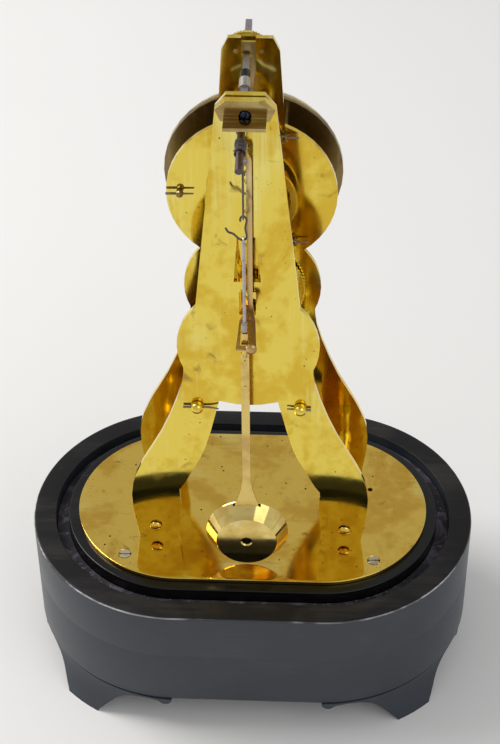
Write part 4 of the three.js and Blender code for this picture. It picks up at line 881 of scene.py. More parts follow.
def rounded(profile: Sequence[Point], steps: int = 4) -> list[Spot]:
    """Rounds the corners of a profile between its ends.

    Args:
        profile: Points with the size of each corner's round.
        steps: Faces of each round.

    Returns:
        The rounded profile.
    """
    out: list[Spot] = []
    for i, (x, y, size) in enumerate(profile):
        if not size or i in (0, len(profile) - 1):
            out.append((x, y))
            continue
        corner = Vector((x, y))
        start = corner + (Vector(profile[i - 1][:2]) - corner).normalized() * size
        end = corner + (Vector(profile[i + 1][:2]) - corner).normalized() * size
        for t in (step / steps for step in range(steps + 1)):
            out.append(tuple(start * (1 - t) ** 2 + corner * 2 * t * (1 - t) + end * t ** 2))
    return out


def dome(radius: float, foot: float, top: float, steps: int) -> list[Spot]:
    """The profile of a dome, from its rim to its middle.

    Args:
        radius: Its radius.
        foot: Where its rim lies along the axis.
        top: Where its middle lies.
        steps: Faces from rim to middle.

    Returns:
        The points.
    """
    angles = [math.pi / 2 * i / steps for i in range(steps)]
    return [(radius * math.cos(a), foot + (top - foot) * math.sin(a)) for a in angles] + [(0, top)]


# Plinth


@dataclass
class Plinth:
    """The ebonised base: an oval body with a raised rim, a lined groove, a glossy step and four feet.

    A hem is how far the last loop of a flat lies inside its edge. A foot's half outline gives the turn
    from the foot's middle, as a share of a quarter turn, and the level of the lower edge there, as a
    share of the foot's height.
    """

    finishes: Finishes
    segments: int = 256
    hem: float = 1.5
    step_hem: float = 4.0
    seam_gap: float = 0.02
    foot_edge: float = 0.15
    seam_edge: float = 0.05
    edge: float = 1.1
    lip: float = 0.5
    dark_share: float = 0.55
    highlight_share: float = 0.5
    core_gap: float = 0.3
    step_ledge: float = 4.4
    step_edge: float = 0.7
    lining_gap: float = 0.2
    lining_edge: float = 0.2
    lining_bed: float = 0.3
    foot_wall: float = 7.2
    foot_flare: float = 4.1
    foot_swell: float = 0.9
    end_ledge: float = -0.5
    side_ledge: float = 0.6
    foot_rows: int = 10
    foot_centre: float = 0.58
    foot_half: Profile = (
        (0.0, 0), (0.04, 0), (0.08, 0), (0.084, 0.06), (0.09, 0.12), (0.1, 0.19), (0.11, 0.28), (0.13, 0.44),
        (0.15, 0.59), (0.17, 0.71), (0.19, 0.8), (0.21, 0.86), (0.23, 0.91), (0.26, 0.94), (0.29, 0.95),
        (0.32, 0.94), (0.34, 0.92), (0.35, 0.89), (0.358, 0.85), (0.367, 0.825), (0.375, 0.82), (0.388, 0.84),
        (0.397, 0.885), (0.402, 0.94))

    def __post_init__(self) -> None:
        """Reads the oval from the frame."""
        self.rim = Span.of("plinth_rim")
        self.core = Span.of("plinth_core")
        self.lining = Span.of("groove_lining")
        self.radius = self.rim.high.y
        self.turn = self.rim.high.x - self.radius
        self.step_radius = Span.of("base_plate").high.y + self.step_ledge

    def oval(self, bm: BMesh, radius: float, z: float) -> list[BMEdge]:
        """Adds one oval loop.

        Args:
            bm: The mesh.
            radius: Radius of its round ends.
            z: Its height.

        Returns:
            The loop's edges.
        """
        ring = bmesh.ops.create_circle(bm, cap_ends=False, radius=radius, segments=self.segments)["verts"]
        half = Matrix.Rotation(math.pi / self.segments, 3, Axis.Z.value)
        bmesh.ops.rotate(bm, verts=ring, cent=(0, 0, 0), matrix=half)
        ends = {side: [v for v in ring if v.co.x * side > 0] for side in (-1, 1)}
        for side, verts in ends.items():
            bmesh.ops.translate(bm, vec=(side * self.turn, 0, z), verts=verts)
        return list({e for v in ring for e in v.link_edges})

    def sweep(self, profile: Profile, closed: bool) -> BMesh:
        """Carries a profile of radius and height round the oval.

        Args:
            profile: Radii and heights, from outside at the foot, up and inwards.
            closed: Whether it is a ring; otherwise its ends are filled.

        Returns:
            The closed shape.
        """
        bm = bmesh.new()
        loops = [self.oval(bm, r, z) for r, z in profile]
        pairs = list(zip(loops, loops[1:])) + ([(loops[-1], loops[0])] if closed else [])
        for a, b in pairs:
            bmesh.ops.bridge_loops(bm, edges=a + b)
        if not closed:
            for loop in (loops[0], loops[-1]):
                bmesh.ops.contextual_create(bm, geom=loop)
        return bm

    def layer(self, name: str, node: str, profile: Profile, closed: bool, material: bpy.types.Material,
              slot: Slot) -> bpy.types.Object:
        """Makes one oval layer of the plinth.

        Args:
            name: Its name.
            node: The CAD node that it replaces.
            profile: Radii and heights.
            closed: Whether it is a ring.
            material: Its finish.
            slot: Its material slot.

        Returns:
            The object.
        """
        return Piece(name, self.sweep(profile, closed), material, "frame", slot, [node]).make()

    def body(self) -> None:
        """Makes the lower layer, up to the seam under the rim."""
        foot, seam, r = Span.of("plinth_lower").low.z, self.rim.low.z - self.seam_gap, self.radius
        profile = rounded([(r - self.hem, foot, 0), (r, foot, self.foot_edge), (r, seam, self.seam_edge),
                           (r - self.hem, seam, 0)])
        self.layer("plinth_body", "plinth_lower", profile, False, self.finishes.side, Slot.WOOD)

    def top_rim(self) -> None:
        """Makes the rim, with a dull land inside its outer edge, which carries a painted highlight."""
        f, r, low, high = self.finishes, self.radius, self.rim.low.z, self.rim.high.z
        inner = self.core.high.x - self.turn + self.core_gap
        profile = rounded([(r - 2 * self.hem, low, 0), (r, low, self.seam_edge), (r, high, self.edge),
                           (inner, high, self.lip), (inner, low, 0)], 5)
        made = self.layer("plinth_top_rim", "plinth_rim", profile, True, f.side, Slot.WOOD)
        # The outer strip of the edge's round gets the painted highlight.
        top, worn = high - self.edge * self.dark_share, r - self.edge * self.highlight_share

        def zone(face: bpy.types.MeshPolygon) -> int:
            """0 on the sides, 1 on the land and 2 on the outer edge with the painted highlight."""
            x, y, z = face.center / MM
            reach = math.hypot(max(abs(x) - self.turn, 0), y)
            return 0 if z < top else 2 if reach > worn else 1

        dressed(made, (f.land, f.worn), zone)

    def step(self) -> None:
        """Makes the core with the glossy step that the base plate lies on."""
        outer, r, top = self.core.high.y, self.step_radius, self.core.high.z
        floor = self.lining.low.z - self.lining_bed
        profile = rounded([(outer - self.hem, self.core.low.z, 0), (outer, self.core.low.z, 0),
                           (outer, floor, 0), (r, floor, 0), (r, top, self.step_edge),
                           (r - self.step_hem, top, 0)], 5)
        self.layer("plinth_step", "plinth_core", profile, False, self.finishes.gloss, Slot.GLOSS)

    def groove(self) -> None:
        """Makes the lining of the groove round the step."""
        outer, inner = self.lining.high.y, self.step_radius + self.lining_gap
        low, high, edge = self.lining.low.z, self.lining.high.z, self.lining_edge
        profile = rounded([(outer, low, 0), (outer, high, edge), (inner, high, edge), (inner, low, 0)], 2)
        self.layer("groove_velvet", "groove_lining", profile, True, self.finishes.velvet, Slot.VELVET)

    def foot(self, node: str) -> None:
        """Makes one bracket foot, which follows the round end and flares to its pad.

        Args:
            node: The CAD foot that it replaces.
        """
        place = Span.of(node)
        top = place.high.z - self.seam_gap
        sx, sy = math.copysign(1, place.centre.x), math.copysign(1, place.centre.y)
        edge = [(self.foot_centre - turn, low) for turn, low in reversed(self.foot_half[1:])]
        edge += [(self.foot_centre + turn, low) for turn, low in self.foot_half]
        columns, first, last = len(edge) - 1, edge[0][0], edge[-1][0]
        bm = bmesh.new()
        bmesh.ops.create_grid(bm, x_segments=columns, y_segments=self.foot_rows, size=0.5)
        for v in bm.verts:
            turn, low = edge[round((v.co.x + 0.5) * columns)]
            level = low + (1 - low) * (v.co.y + 0.5)
            ledge = self.end_ledge + (self.side_ledge - self.end_ledge) * (turn - first) / (last - first)
            flare = (self.foot_flare - ledge) * (1 - level) ** 2 * (1 + self.foot_swell * level)
            reach, angle = self.radius + ledge + flare, turn * math.pi / 2
            v.co = (sx * (self.turn + reach * math.cos(angle)), sy * reach * math.sin(angle), top * level)
        bmesh.ops.recalc_face_normals(bm, faces=bm.faces)
        if sum(face.normal.dot((sx, sy, 0)) for face in bm.faces) < 0:
            bmesh.ops.reverse_faces(bm, faces=bm.faces)
        back = bmesh.ops.extrude_face_region(bm, geom=bm.faces[:], use_keep_orig=True)["geom"]
        for v in (g for g in back if isinstance(g, BMVert)):
            spine = Vector((sx * self.turn, 0, v.co.z))
            v.co += (spine - v.co).normalized() * self.foot_wall
        Piece(f"{node}_bracket", bm, self.finishes.side, "frame", Slot.WOOD, [node], bevel=0.25,
              crease=40).make()

    def build(self) -> None:
        """Makes the body, the rim, the step, the lining and the feet."""
        self.body()
        self.top_rim()
        self.step()
        self.groove()
        for end in ("rear", "front"):
            for side in ("left", "right"):
                self.foot(f"foot_{end}_{side}")


# Base plate


@dataclass
class BasePlate:
    """The oval brass plate with its countersunk screws and a small open hole."""

    finishes: Finishes
    plinth: Plinth
    hem: float = 1.2
    edge: float = 0.35
    shank: float = 1.5
    sink: float = 2.68
    sink_depth: float = 1.2
    hole: float = 1.1
    hole_at: Spot = (-49.8, -10.6)
    through: float = 6.0

    def build(self) -> None:
        """Makes the plate and its two screws."""
        box = Span.of("base_plate")
        low, top, r = box.low.z, box.high.z, box.high.y
        inner = r - self.hem
        plate = self.plinth.sweep(
            rounded([(inner, low, 0), (r, low, 0), (r, top, self.edge), (inner, top, 0)]), False)
        sunk = ((self.shank, -self.through), (self.shank, -self.sink_depth), (self.sink, 0),
                (self.sink, self.through))
        tools = []
        for node in ("base_screw_left", "base_screw_right"):
            centre = Span.of(node).centre
            tools.append(shifted(turned(sunk, axis=Axis.Z), (centre.x, centre.y, top)))
            refined(node, self.finishes.screw, Slot.STEEL, 0.06)
        drilled = turned(((self.hole, -self.through), (self.hole, self.through)), 32, Axis.Z)
        tools.append(shifted(drilled, (*self.hole_at, top)))
        Piece("brass_base", carved(plate, *tools), self.finishes.base, "frame", Slot.BRASS_WARM,
              ["base_plate"]).make()


# Turned and domed fastenings


@dataclass
class Fastenings:
    """Pillars with domed ends, domed screws and taper pins.

    A pillar's half outline gives the radius and the distance from its middle, from its collar at the
    back plate to its waist.
    """

    finishes: Finishes
    shank: float = 1.0
    head_nick: float = 0.1
    head_side: float = 0.25
    slot_depth: float = 0.7
    slot_half: float = 0.35
    overrun: float = 1.0
    side_lean: float = 0.35
    shoulder: float = 0.3
    neck: float = 1.5
    neck_inset: float = 0.2
    ball_inset: float = 0.1
    ball_nick: float = 0.15
    ball_side: float = 1.2
    pillar_half: Profile = (
        (2.6, 16.6), (2.25, 16.2), (2.45, 15.6), (2.45, 15.2), (1.95, 14.6), (1.75, 12), (1.8, 6), (2.0, 3.4),
        (2.35, 2.9), (2.35, 2.5), (2.15, 2.1), (2.6, 1.2))
    pillar_waist: float = 2.65
    pin_hole: float = 0.62
    pin_radius: float = 0.5

    def domed_screw(self, node: str, material: bpy.types.Material, slot: Slot, height: float,
                    slot_turn: float, toward: int = 1) -> None:
        """Makes a slotted screw with a domed head, with painted shade round its side and in its slot.

        Args:
            node: The CAD screw that it replaces.
            material: Its finish.
            slot: Its material slot.
            height: Height of the head.
            slot_turn: Angle of its slot, in radians.
            toward: 1 where the head faces +Y, -1 where it faces -Y.
        """
        box = Span.of(node)
        radius = box.size.x / 2
        foot, head = (box.low.y, box.high.y) if toward > 0 else (-box.high.y, -box.low.y)
        seat = head - height
        shape = turned([(self.shank, foot), (self.shank, seat), (radius - self.head_nick, seat),
                        (radius, seat + self.head_nick), *dome(radius, seat + self.head_side, head, 8)])
        groove = block((-radius - self.overrun, head - self.slot_depth, -self.slot_half),
                       (radius + self.overrun, head + self.overrun, self.slot_half))
        bm = carved(shape, rotated(groove, slot_turn, Axis.Y))
        if toward < 0:
            rotated(bm, math.pi, Axis.Z)
        shifted(bm, (box.centre.x, 0, box.centre.z))
        made = Piece(f"{node}_domed", bm, material, "frame", slot, [node], bevel=0.05).make()
        # Painted shade: the faces that don't face along Y get the near-black brass.
        dressed(made, [self.finishes.painted_shade], lambda face: int(abs(face.normal.y) < self.side_lean))

    def pillar(self, node: str) -> None:
        """Makes one pillar with its domed rear end and the hole for its pin.

        Args:
            node: The CAD pillar that it replaces.
        """
        box, plate = Span.of(node), Span.of("back_plate")
        inner, seat = plate.low.y - self.shoulder, plate.high.y + self.shoulder
        half = [(box.size.x / 2, inner), *self.pillar_half]
        ball = box.size.x / 2 - self.ball_inset
        profile = [(self.neck, box.low.y + self.neck_inset), (self.neck, -inner), *((r, -y) for r, y in half),
                   (self.pillar_waist, 0), *reversed(half), (self.neck, inner), (self.neck, seat),
                   (ball - self.ball_nick, seat), (ball, seat + self.ball_nick),
                   *dome(ball, seat + self.ball_side, box.high.y, 12)]
        across, along = box.size.x, Span.of(node.replace("pillar", "pillar_pin")).centre.y
        hole = tube([(-across, along, 0), (across, along, 0)], self.pin_hole, smooth=False)
        bm = shifted(carved(turned(profile), hole), (box.centre.x, 0, box.centre.z))
        Piece(f"{node}_turned", bm, self.finishes.turned, "frame", Slot.BRASS, [node], crease=40).make()

    def pin(self, node: str, sag: float, lift: float = 0, thick: int = 1) -> None:
        """Makes one taper pin, a little bent.

        Args:
            node: The CAD pin that it replaces.
            sag: How far its ends bend down and up.
            lift: How far its thin end bends away from the plate.
            thick: 1 where its thick end is on the +X side, -1 where it is on the other.
        """
        box = Span.of(node)
        centre, half = box.centre, thick * box.size.x / 2
        # Each station: share of the half length, share of the thickness, bend outwards, bend upwards
        stations = ((1, 0.95, 0, -sag), (0.6, 1, 0, -sag * 0.4), (0, 0.9, 0, 0), (-0.4, 0.8, 0, 0),
                    (-0.7, 0.7, lift * 0.35, sag * 0.2), (-1, 0.6, lift, sag * 0.5))
        points = [(centre.x + share * half, centre.y + out, centre.z + up) for share, _, out, up in stations]
        bm = tube(points, self.pin_radius, [size for _, size, _, _ in stations])
        Piece(f"{node}_taper", bm, self.finishes.pin, "frame", Slot.STEEL, [node]).make()

    def build(self) -> None:
        """Makes every fastening."""
        f = self.finishes
        for side in ("left", "right"):
            self.pillar(f"pillar_{side}")
            self.domed_screw(f"leg_screw_rear_{side}", f.base, Slot.BRASS_WARM, 1.5, slot_turn=0.15)
            self.domed_screw(f"leg_screw_front_{side}", f.base, Slot.BRASS_WARM, 1.5, slot_turn=0.6,
                             toward=-1)
            refined(f"foot_pillar_{side}", f.turned, Slot.BRASS, 0.15)
        self.pin("pillar_pin_left", sag=0.12, lift=0.9)
        self.pin("pillar_pin_right", sag=0.35, lift=0.2, thick=-1)
        for i in (1, 2, 3):
            self.pin(f"dial_pin_{i}", sag=0.08)
        self.domed_screw("cock_screw", f.blued, Slot.BLUED, 1.9, slot_turn=1.2)


# Pendulum


@dataclass
class Pendulum:
    """The bob, the flat rod with its block, the hanger and the hook.

    The rim's round gives its points from the corner of the bob's rim, outwards and along the axis.
    """

    finishes: Finishes
    flat: float = 12.0
    nick: float = 0.1
    rim_depth: float = 2.4
    rim_round: Profile = ((-0.25, -0.12), (0, 0.1), (-0.15, 0.45))
    hole: float = 1.95
    mouth: float = 2.35
    mouth_depth: float = 0.55
    overrun: float = 2.0
    slot_gap: float = 0.03
    slot_y: Spot = (34.0, 35.0)
    slot_z: Spot = (8.0, 20.0)
    wall_lean: float = 0.1
    collar: float = 5.2

    def bob(self) -> None:
        """Makes the turned bob with its bevelled rim, its hole with painted shade on its wall and the rod's
        slot.
        """
        box = Span.of("pendulum_bob")
        centre, radius = box.centre, box.size.x / 2
        front, rear, rim = box.low.y, box.high.y, box.low.y + self.rim_depth
        profile = [(0, front), (self.flat, front), (self.flat + self.nick, front + self.nick),
                   *((radius + out, rim + along) for out, along in self.rim_round),
                   (self.flat + self.nick, rear - self.nick), (self.flat - self.nick / 2, rear), (0, rear)]
        hole = turned([(self.hole, front - self.overrun), (self.hole, rear - self.mouth_depth),
                       (self.mouth, rear), (self.mouth, rear + self.overrun)], 32)
        half = Span.of("pendulum_rod").size.x / 2 + self.slot_gap
        slot = block((-half, self.slot_y[0], self.slot_z[0]), (half, self.slot_y[1], self.slot_z[1]))
        bm = shifted(carved(turned(profile, 128), hole, slot), (centre.x, 0, centre.z))
        made = Piece("bob_turned", bm, self.finishes.bob, "pendulum", Slot.BRASS, ["pendulum_bob"],
                     crease=11).make()

        def wall(face: bpy.types.MeshPolygon) -> int:
            """1 on the wall of the hole, which gets painted shade."""
            across = math.hypot(face.center.x / MM - centre.x, face.center.z / MM - centre.z)
            return int(across < self.hole + self.nick and abs(face.normal.y) < self.wall_lean)

        dressed(made, [self.finishes.painted_shade], wall)

    def build(self) -> None:
        """Makes every piece of the pendulum."""
        f = self.finishes
        self.bob()
        refined("pendulum_rod", f.rod, Slot.BRASS_PALE, 0.12)
        hanger = refined("pendulum_hanger", f.hanger, Slot.STEEL, 0.05)
        foot = Span.of("pendulum_rod").high.z
        dressed(hanger, [f.steel], lambda face: int(0 < face.center.z / MM - foot < self.collar))
        refined("suspension_hook", f.tip, Slot.STEEL, 0)


@dataclass
class SilkLoop:
    """The loop of silk that carries the pendulum: down from the arbor, round the hook and up again."""

    finishes: Finishes
    spread: float = 1.8
    foot: float = 1.35
    bend: Spot = (0.72, 0.36)
    gap: float = 0.02
    steps: int = 6

    def build(self) -> None:
        box = Span.of("silk_loop")
        x, y = box.centre.x, box.centre.y
        radius = box.size.x / 2
        top, low = box.high.z - self.gap, box.low.z + radius
        half = [(self.spread + (self.foot - self.spread) * i / self.steps,
                 top + (low + 2 * self.foot - top) * i / self.steps) for i in range(self.steps + 1)]
        half.append((self.foot * self.bend[0], low + self.foot * self.bend[1]))
        sides = [(-across, z) for across, z in half] + [(0.0, low)] + list(reversed(half))
        path = [(x * MM, (y + across) * MM, z * MM) for across, z in sides]
        data = wire("silk_cord", radius * MM, 3)
        line = data.splines.new("POLY")
        line.points.add(len(path) - 1)
        for point, place in zip(line.points, path):
            point.co = (*place, 1)
        data.materials.append(self.finishes.silk)
        cord = linked("silk_cord", data)
        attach(cord, "pendulum")
        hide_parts("silk_loop")


# Dial


@dataclass
class Dial:
    """The brass disc, the enamel with its numerals, the bezel and the hands."""

    finishes: Finishes
    numeral_radius: float = 24.6
    numeral_height: float = 6.0
    thick: float = 0.95
    thin: float = 0.26
    inset: float = 0.6
    flick: float = 0.1
    serif_inset: float = 0.05
    relief: float = 0.035
    track: Spot = (29.1, 31.2)
    track_line: float = 0.18
    minute_mark: float = 0.16
    hour_mark: float = 0.5

    def __post_init__(self) -> None:
        """Reads the enamel's place from the frame."""
        box = Span.of("dial_enamel")
        self.face = box.low.y
        self.axis = Vector((box.centre.x, 0, box.centre.z))

    def stroke(self, start: Spot, end: Spot, width: float) -> BMesh:
        """Makes one painted stroke, upright in front of the dial and round its own zero.

        Args:
            start: Its foot, sideways and upwards.
            end: Its top.
            width: Its width.

        Returns:
            The stroke.
        """
        run = Vector((end[0] - start[0], end[1] - start[1]))
        bar = block((-width / 2, -self.relief, 0), (width / 2, self.relief, run.length))
        return shifted(rotated(bar, math.atan2(run.x, run.y), Axis.Y), (start[0], 0, start[1]))

    def glyph(self, letter: Letter, x: float) -> list[BMesh]:
        """Makes one letter of a Roman numeral.

        Args:
            letter: The letter.
            x: Where it begins.

        Returns:
            Its strokes.
        """
        h, middle = self.numeral_height, x + letter.value / 2
        left, right = x + self.inset, x + letter.value - self.inset
        thick, thin = {
            Letter.I: ((middle, middle), None),
            Letter.V: ((middle, left), (middle, right + self.flick)),
            Letter.X: ((right, left), (left, right)),
        }[letter]
        strokes = [self.stroke((thick[0], 0), (thick[1], h), self.thick)]
        if thin:
            strokes.append(self.stroke((thin[0], 0), (thin[1], h), self.thin))
        return strokes

    def numeral(self, hour: int, text: str) -> BMesh:
        """Makes one numeral with its serifs, its top outwards.

        Args:
            hour: The hour.
            text: Its letters.

        Returns:
            The numeral in its place round the dial's centre.
        """
        strokes: list[BMesh] = []
        x = 0.0
        for letter in (Letter[name] for name in text):
            strokes += self.glyph(letter, x)
            x += letter.value
        for z in (0, self.numeral_height - self.thin):
            strokes.append(block((self.serif_inset, -self.relief, z),
                                 (x - self.serif_inset, self.relief, z + self.thin)))
        shape = shifted(joined(*strokes), (-x / 2, 0, self.numeral_radius - self.numeral_height / 2))
        return rotated(shape, hour * math.pi / 6, Axis.Y)

    def markings(self) -> None:
        """Makes the painted numerals and the minute track."""
        hours = ("I", "II", "III", "IIII", "V", "VI", "VII", "VIII", "IX", "X", "XI", "XII")
        marks = [self.numeral(i + 1, text) for i, text in enumerate(hours)]
        low, high = self.track
        for r in self.track:
            inner, outer = r - self.track_line / 2, r + self.track_line / 2
            marks.append(turned([(inner, -self.relief), (outer, -self.relief), (outer, self.relief),
                                 (inner, self.relief), (inner, -self.relief)], 120))
        for minute in range(60):
            tick = self.stroke((0, low), (0, high), self.minute_mark if minute % 5 else self.hour_mark)
            marks.append(rotated(tick, minute * math.pi / 30, Axis.Y))
        bm = shifted(joined(*marks), self.axis + Vector((0, self.face - self.relief / 2, 0)))
        Piece("dial_markings", bm, self.finishes.paint, "frame", Slot.ENAMEL).make()

    def build(self) -> None:
        """Makes every piece of the dial."""
        f = self.finishes
        refined("dial_back", f.dull, Slot.BRASS, 0.1)
        refined("dial_enamel", f.enamel, Slot.ENAMEL, 0.1)
        # The bezel gets the darker brass as painted shade.
        refined("dial_bezel", f.shaded_brass, Slot.BRASS, 0.1)
        refined("hour_hand", f.blued, Slot.BLUED, 0.05)
        refined("minute_hand", f.blued, Slot.BLUED, 0.05)
        self.markings()


# Movement


@dataclass
class Movement:
    """Plates, train, motion work, escapement and the suspension cock."""

    finishes: Finishes
    facing: float = 0.8

    def build(self) -> None:
        """Makes every piece of the movement from its solid."""
        f = self.finishes
        groups = (
            (("back_plate", "front_plate", "pivot_bridge"), f.plate, Slot.BRASS, 0.16),
            (("crutch",), f.strip, Slot.BRASS, 0.1),
            (("regulator_bridge",), f.pale, Slot.BRASS_PALE, 0.12),
            (("barrel_cover",), f.pale, Slot.BRASS_PALE, 0.1),
            (("mainspring_barrel", "intermediate_wheel", "centre_wheel", "third_wheel", "escape_wheel",
              "minute_wheel", "hour_wheel", "regulator_wheel"), f.wheel, Slot.BRASS, 0.04),
            (("barrel_arbor", "ratchet_wheel", "click", "cannon_pinion", "pallet_anchor", "mainspring"),
             f.steel, Slot.STEEL, 0.05),
            (("click_screw", "click_spring"), f.blued, Slot.BLUED, 0.05),
        )
        for nodes, material, slot, bevel in groups:
            for node in nodes:
                refined(node, material, slot, bevel)
        self.cock()

    def cock(self) -> None:
        """Makes the suspension cock with painted shade on its flats and its shelf, which stand darker than
        its filed edges.
        """
        made = refined("suspension_cock", self.finishes.plate, Slot.BRASS, 0.14)
        middle = Span.of("suspension_cock").centre.z

        def dark(face: bpy.types.MeshPolygon) -> int:
            """1 on the faces that point along Y, and on those that point up in the lower half."""
            shelf = face.normal.z > self.facing and face.center.z / MM <= middle
            return int(abs(face.normal.y) > self.facing or shelf)

        # Painted shade: the faces along Y and the upward faces in the lower half get the darker brass.
        dressed(made, [self.finishes.shaded_brass], dark)


# Regulator


@dataclass
class Regulator:
    """The square regulating arbor with its sleeve and collar, and the silk wound on its rear end.

    A knot is given by the end of the winding that it is measured from (0 front, 1 rear), its distance
    from there along Y and its angle round the arbor. A tail is a path of points sideways from the
    arbor's axis, along Y from the winding's rear end and upwards.
    """

    finishes: Finishes
    at: Point = (1.5, 0.0, 268.2)
    slope: float = 0.155
    sleeve: Spot = (-13.0, -7.6)
    collar: Spot = (-7.6, -2.0)
    loops: int = 7
    loop_steps: int = 12
    thread: float = 0.3
    coil: float = 1.78
    coil_inset: float = 0.75
    waver: float = 0.1
    waves: Spot = (7.3, 41.0)
    knots: Sequence[Point] = ((0, 0.6, 0.9), (1, -1.2, 2.2), (1, -0.4, 0.4))
    knot_radius: float = 1.85
    knot_size: float = 0.5
    knot_growth: float = 0.06
    knot_rise: float = 0.1
    knot_thread: float = 0.19
    knot_steps: int = 16
    tails: Sequence[Sequence[Point]] = (
        ((-1.2, -1.3, 1.5), (-1.75, -0.9, 0.9), (-2.05, -0.5, -0.2), (-1.95, -0.1, -1.2)),
        ((0.9, -0.5, 1.7), (1.6, 0.1, 1.1), (1.95, 0.3, -0.1), (1.75, 0.2, -1.0)))
    tail_thread: float = 0.13

    def place(self, x: float, along: float, up: float) -> Point:
        """A point in the tilted arbor's frame.

        Args:
            x: Sideways from its axis.
            along: Along Y.
            up: Upwards from its axis.

        Returns:
            The point in the clock's frame.
        """
        return (self.at[0] + x, along, self.at[2] - self.slope * along + up)

    def arbor(self) -> None:
        """Makes the arbor: grey steel with a blued sleeve, a paler collar and a dark rear end."""
        f = self.finishes
        made = refined("regulating_arbor", f.steel, Slot.STEEL, 0.12)
        wound = Span.of("silk_winding").low.y

        def zone(face: bpy.types.MeshPolygon) -> int:
            """1 on the sleeve, 2 on the collar, 3 where the face reaches under the silk, else 0."""
            y = face.center.y / MM
            if max(made.data.vertices[i].co.y for i in face.vertices) / MM > wound:
                return 3
            if self.sleeve[0] < y < self.sleeve[1]:
                return 1
            return 2 if self.collar[0] <= y < self.collar[1] else 0

        dressed(made, (f.blued, f.collar, f.tip), zone)

    def winding(self) -> None:
        """Makes the wound silk with its knots and loose ends, in the CAD winding's place."""
        box = Span.of("silk_winding")
        first, last = box.low.y + self.coil_inset, box.high.y - self.coil_inset
        total = self.loops * self.loop_steps
        points = []
        for i in range(total + 1):
            share, angle = i / total, 2 * math.pi * i / self.loop_steps
            radius = self.coil + self.waver * sum(math.sin(wave * share) for wave in self.waves)
            points.append(self.place(radius * math.cos(angle), first + (last - first) * share,
                                     radius * math.sin(angle)))
        shapes = [tube(points, self.thread, sides=2)]
        for i, (end, offset, turn) in enumerate(self.knots):
            shapes.append(self.knot((first, last)[end] + offset, turn, self.knot_size + self.knot_growth * i))
        for tail in self.tails:
            path = [self.place(x, last + along, up) for x, along, up in tail]
            shapes.append(tube(path, self.tail_thread, (1, 0.9, 0.8, 0.5), sides=2))
        Piece("silk_wound", joined(*shapes), self.finishes.silk, "regulator", Slot.SILK, ["silk_winding"],
              crease=60).make()

    def knot(self, along: float, turn: float, size: float) -> BMesh:
        """Makes one small knot on the winding, a thread that crosses itself.

        Args:
            along: Its place along Y.
            turn: Its angle round the arbor.
            size: Its half width.

        Returns:
            The knot's shape.
        """
        x, up = self.knot_radius * math.cos(turn), self.knot_radius * math.sin(turn)
        centre = Vector(self.place(x, along, up))
        points = []
        for i in range(self.knot_steps + 1):
            a = 2 * math.pi * i / self.knot_steps
            crossing = Vector((0.7 * math.sin(a), 0.6 * math.cos(2 * a), 0.4 * math.sin(3 * a)))
            points.append(tuple(centre + size * crossing + Vector((0, 0, self.knot_rise))))
        return tube(points, self.knot_thread, sides=2)

    def build(self) -> None:
        """Makes the arbor and its silk."""
        self.arbor()
        self.winding()


# Stage


@dataclass(frozen=True)
class Lamp:
    """A soft square lamp: its place and side in metres, its power in watts and its light's colour."""

    name: str
    at: Point
    side: float
    power: float
    colour: Colour

    def hang(self, target: Point) -> None:
        """Adds the lamp.

        Args:
            target: The point that it lights, in metres.
        """
        data = bpy.data.lights.new(self.name, "AREA")
        data.shape = "SQUARE"
        data.size = self.side
        data.energy = self.power
        data.color = self.colour
        made = linked(self.name, data)
        made.location = self.at
        made.rotation_mode = "QUATERNION"
        made.rotation_quaternion = (Vector(target) - Vector(self.at)).to_track_quat("-Z", "Y")


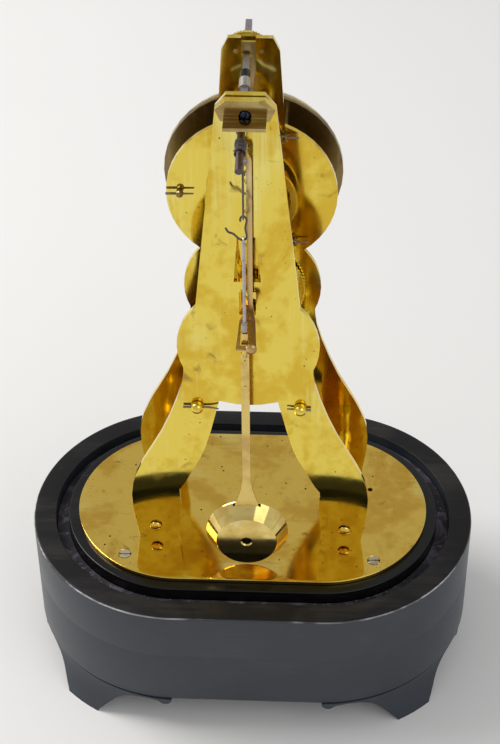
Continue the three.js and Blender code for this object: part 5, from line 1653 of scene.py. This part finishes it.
@dataclass
class Stage:
    """Floor, light and camera. The camera's angles are in radians."""

    camera_at: Point = (-27.45, 536.93, 592.57)
    pitch: float = 0.69873
    yaw: float = -0.05182
    roll: float = -0.01025
    lens: float = 85.71
    sensor: float = 36.0
    clip: Spot = (0.01, 20)
    floor_half: float = 6.0
    floor_colour: Colour = (0.80, 0.795, 0.785)
    target: Point = (0, 0, 0.12)
    lamps: Sequence[Lamp] = (
        Lamp("window", (1.1, -0.35, 1.2), 0.9, 19, (1.0, 0.98, 0.95)),
        Lamp("fill", (-0.9, 1.0, 1.1), 1.2, 5, (0.95, 0.97, 1.0)))
    world_strength: float = 0.69
    sky: Sequence[tuple[float, Colour]] = ((0.02, (1.0, 0.99, 0.97)), (0.95, (0.70, 0.70, 0.71)))

    def camera(self) -> None:
        """Places the camera at the photograph's viewpoint."""
        away = Vector((math.sin(self.yaw) * math.cos(self.pitch), math.cos(self.yaw) * math.cos(self.pitch),
                       -math.sin(self.pitch)))
        right = Vector((math.cos(self.yaw), -math.sin(self.yaw), 0))
        above = right.cross(away)
        level = math.cos(self.roll) * right + math.sin(self.roll) * above
        upward = -math.sin(self.roll) * right + math.cos(self.roll) * above
        axes = [Vector((-v.x, -v.y, v.z)) for v in (level, upward, -away)]
        data = bpy.data.cameras.new("camera")
        data.sensor_fit = "VERTICAL"
        data.sensor_height = self.sensor
        data.lens = self.lens
        data.clip_start, data.clip_end = self.clip
        view = linked("camera", data)
        place = Matrix.Translation(Vector(self.camera_at) * MM)
        view.matrix_world = place @ Matrix(axes).transposed().to_4x4()
        bpy.context.scene.camera = view

    def floor(self) -> None:
        """Makes the pale floor."""
        bm = bmesh.new()
        bmesh.ops.create_grid(bm, x_segments=4, y_segments=4, size=self.floor_half)
        mesh = meshed("floor", bm)
        mesh.materials.append(Card("pale_floor", self.floor_colour).material())
        linked("floor", mesh)

    def world(self) -> None:
        """Sets the soft light all round, a little weaker from above."""
        world = bpy.data.worlds.new("room")
        bpy.context.scene.world = world
        world.use_nodes = True
        nodes = Nodes(world.node_tree)
        way = nodes.add("ShaderNodeTexCoord").outputs["Generated"]
        height = nodes.value("ShaderNodeSeparateXYZ", {}, {0: way}, "Z")
        tone = nodes.add("ShaderNodeValToRGB", {"stops": self.sky}, {"Fac": height}).outputs["Color"]
        back = nodes.add("ShaderNodeBackground", {}, {"Color": tone, "Strength": self.world_strength})
        nodes.add("ShaderNodeOutputWorld", {}, {"Surface": back.outputs[0]})

    def build(self) -> None:
        """Makes the stage."""
        self.camera()
        self.floor()
        for lamp in self.lamps:
            lamp.hang(self.target)
        self.world()
        bpy.context.scene.view_settings.view_transform = "Standard"


def main() -> None:
    """Builds the stage and every piece of the clock."""
    logging.basicConfig(level=logging.INFO, format="%(name)s %(message)s")
    Stage().build()
    finishes = Finishes()
    SilkLoop(finishes).build()
    plinth = Plinth(finishes)
    plinth.build()
    BasePlate(finishes, plinth).build()
    for assembly in (Fastenings, Movement, Regulator, Dial, Pendulum):
        assembly(finishes).build()
    bpy.context.view_layer.update()


if __name__ == "__main__":
    main()
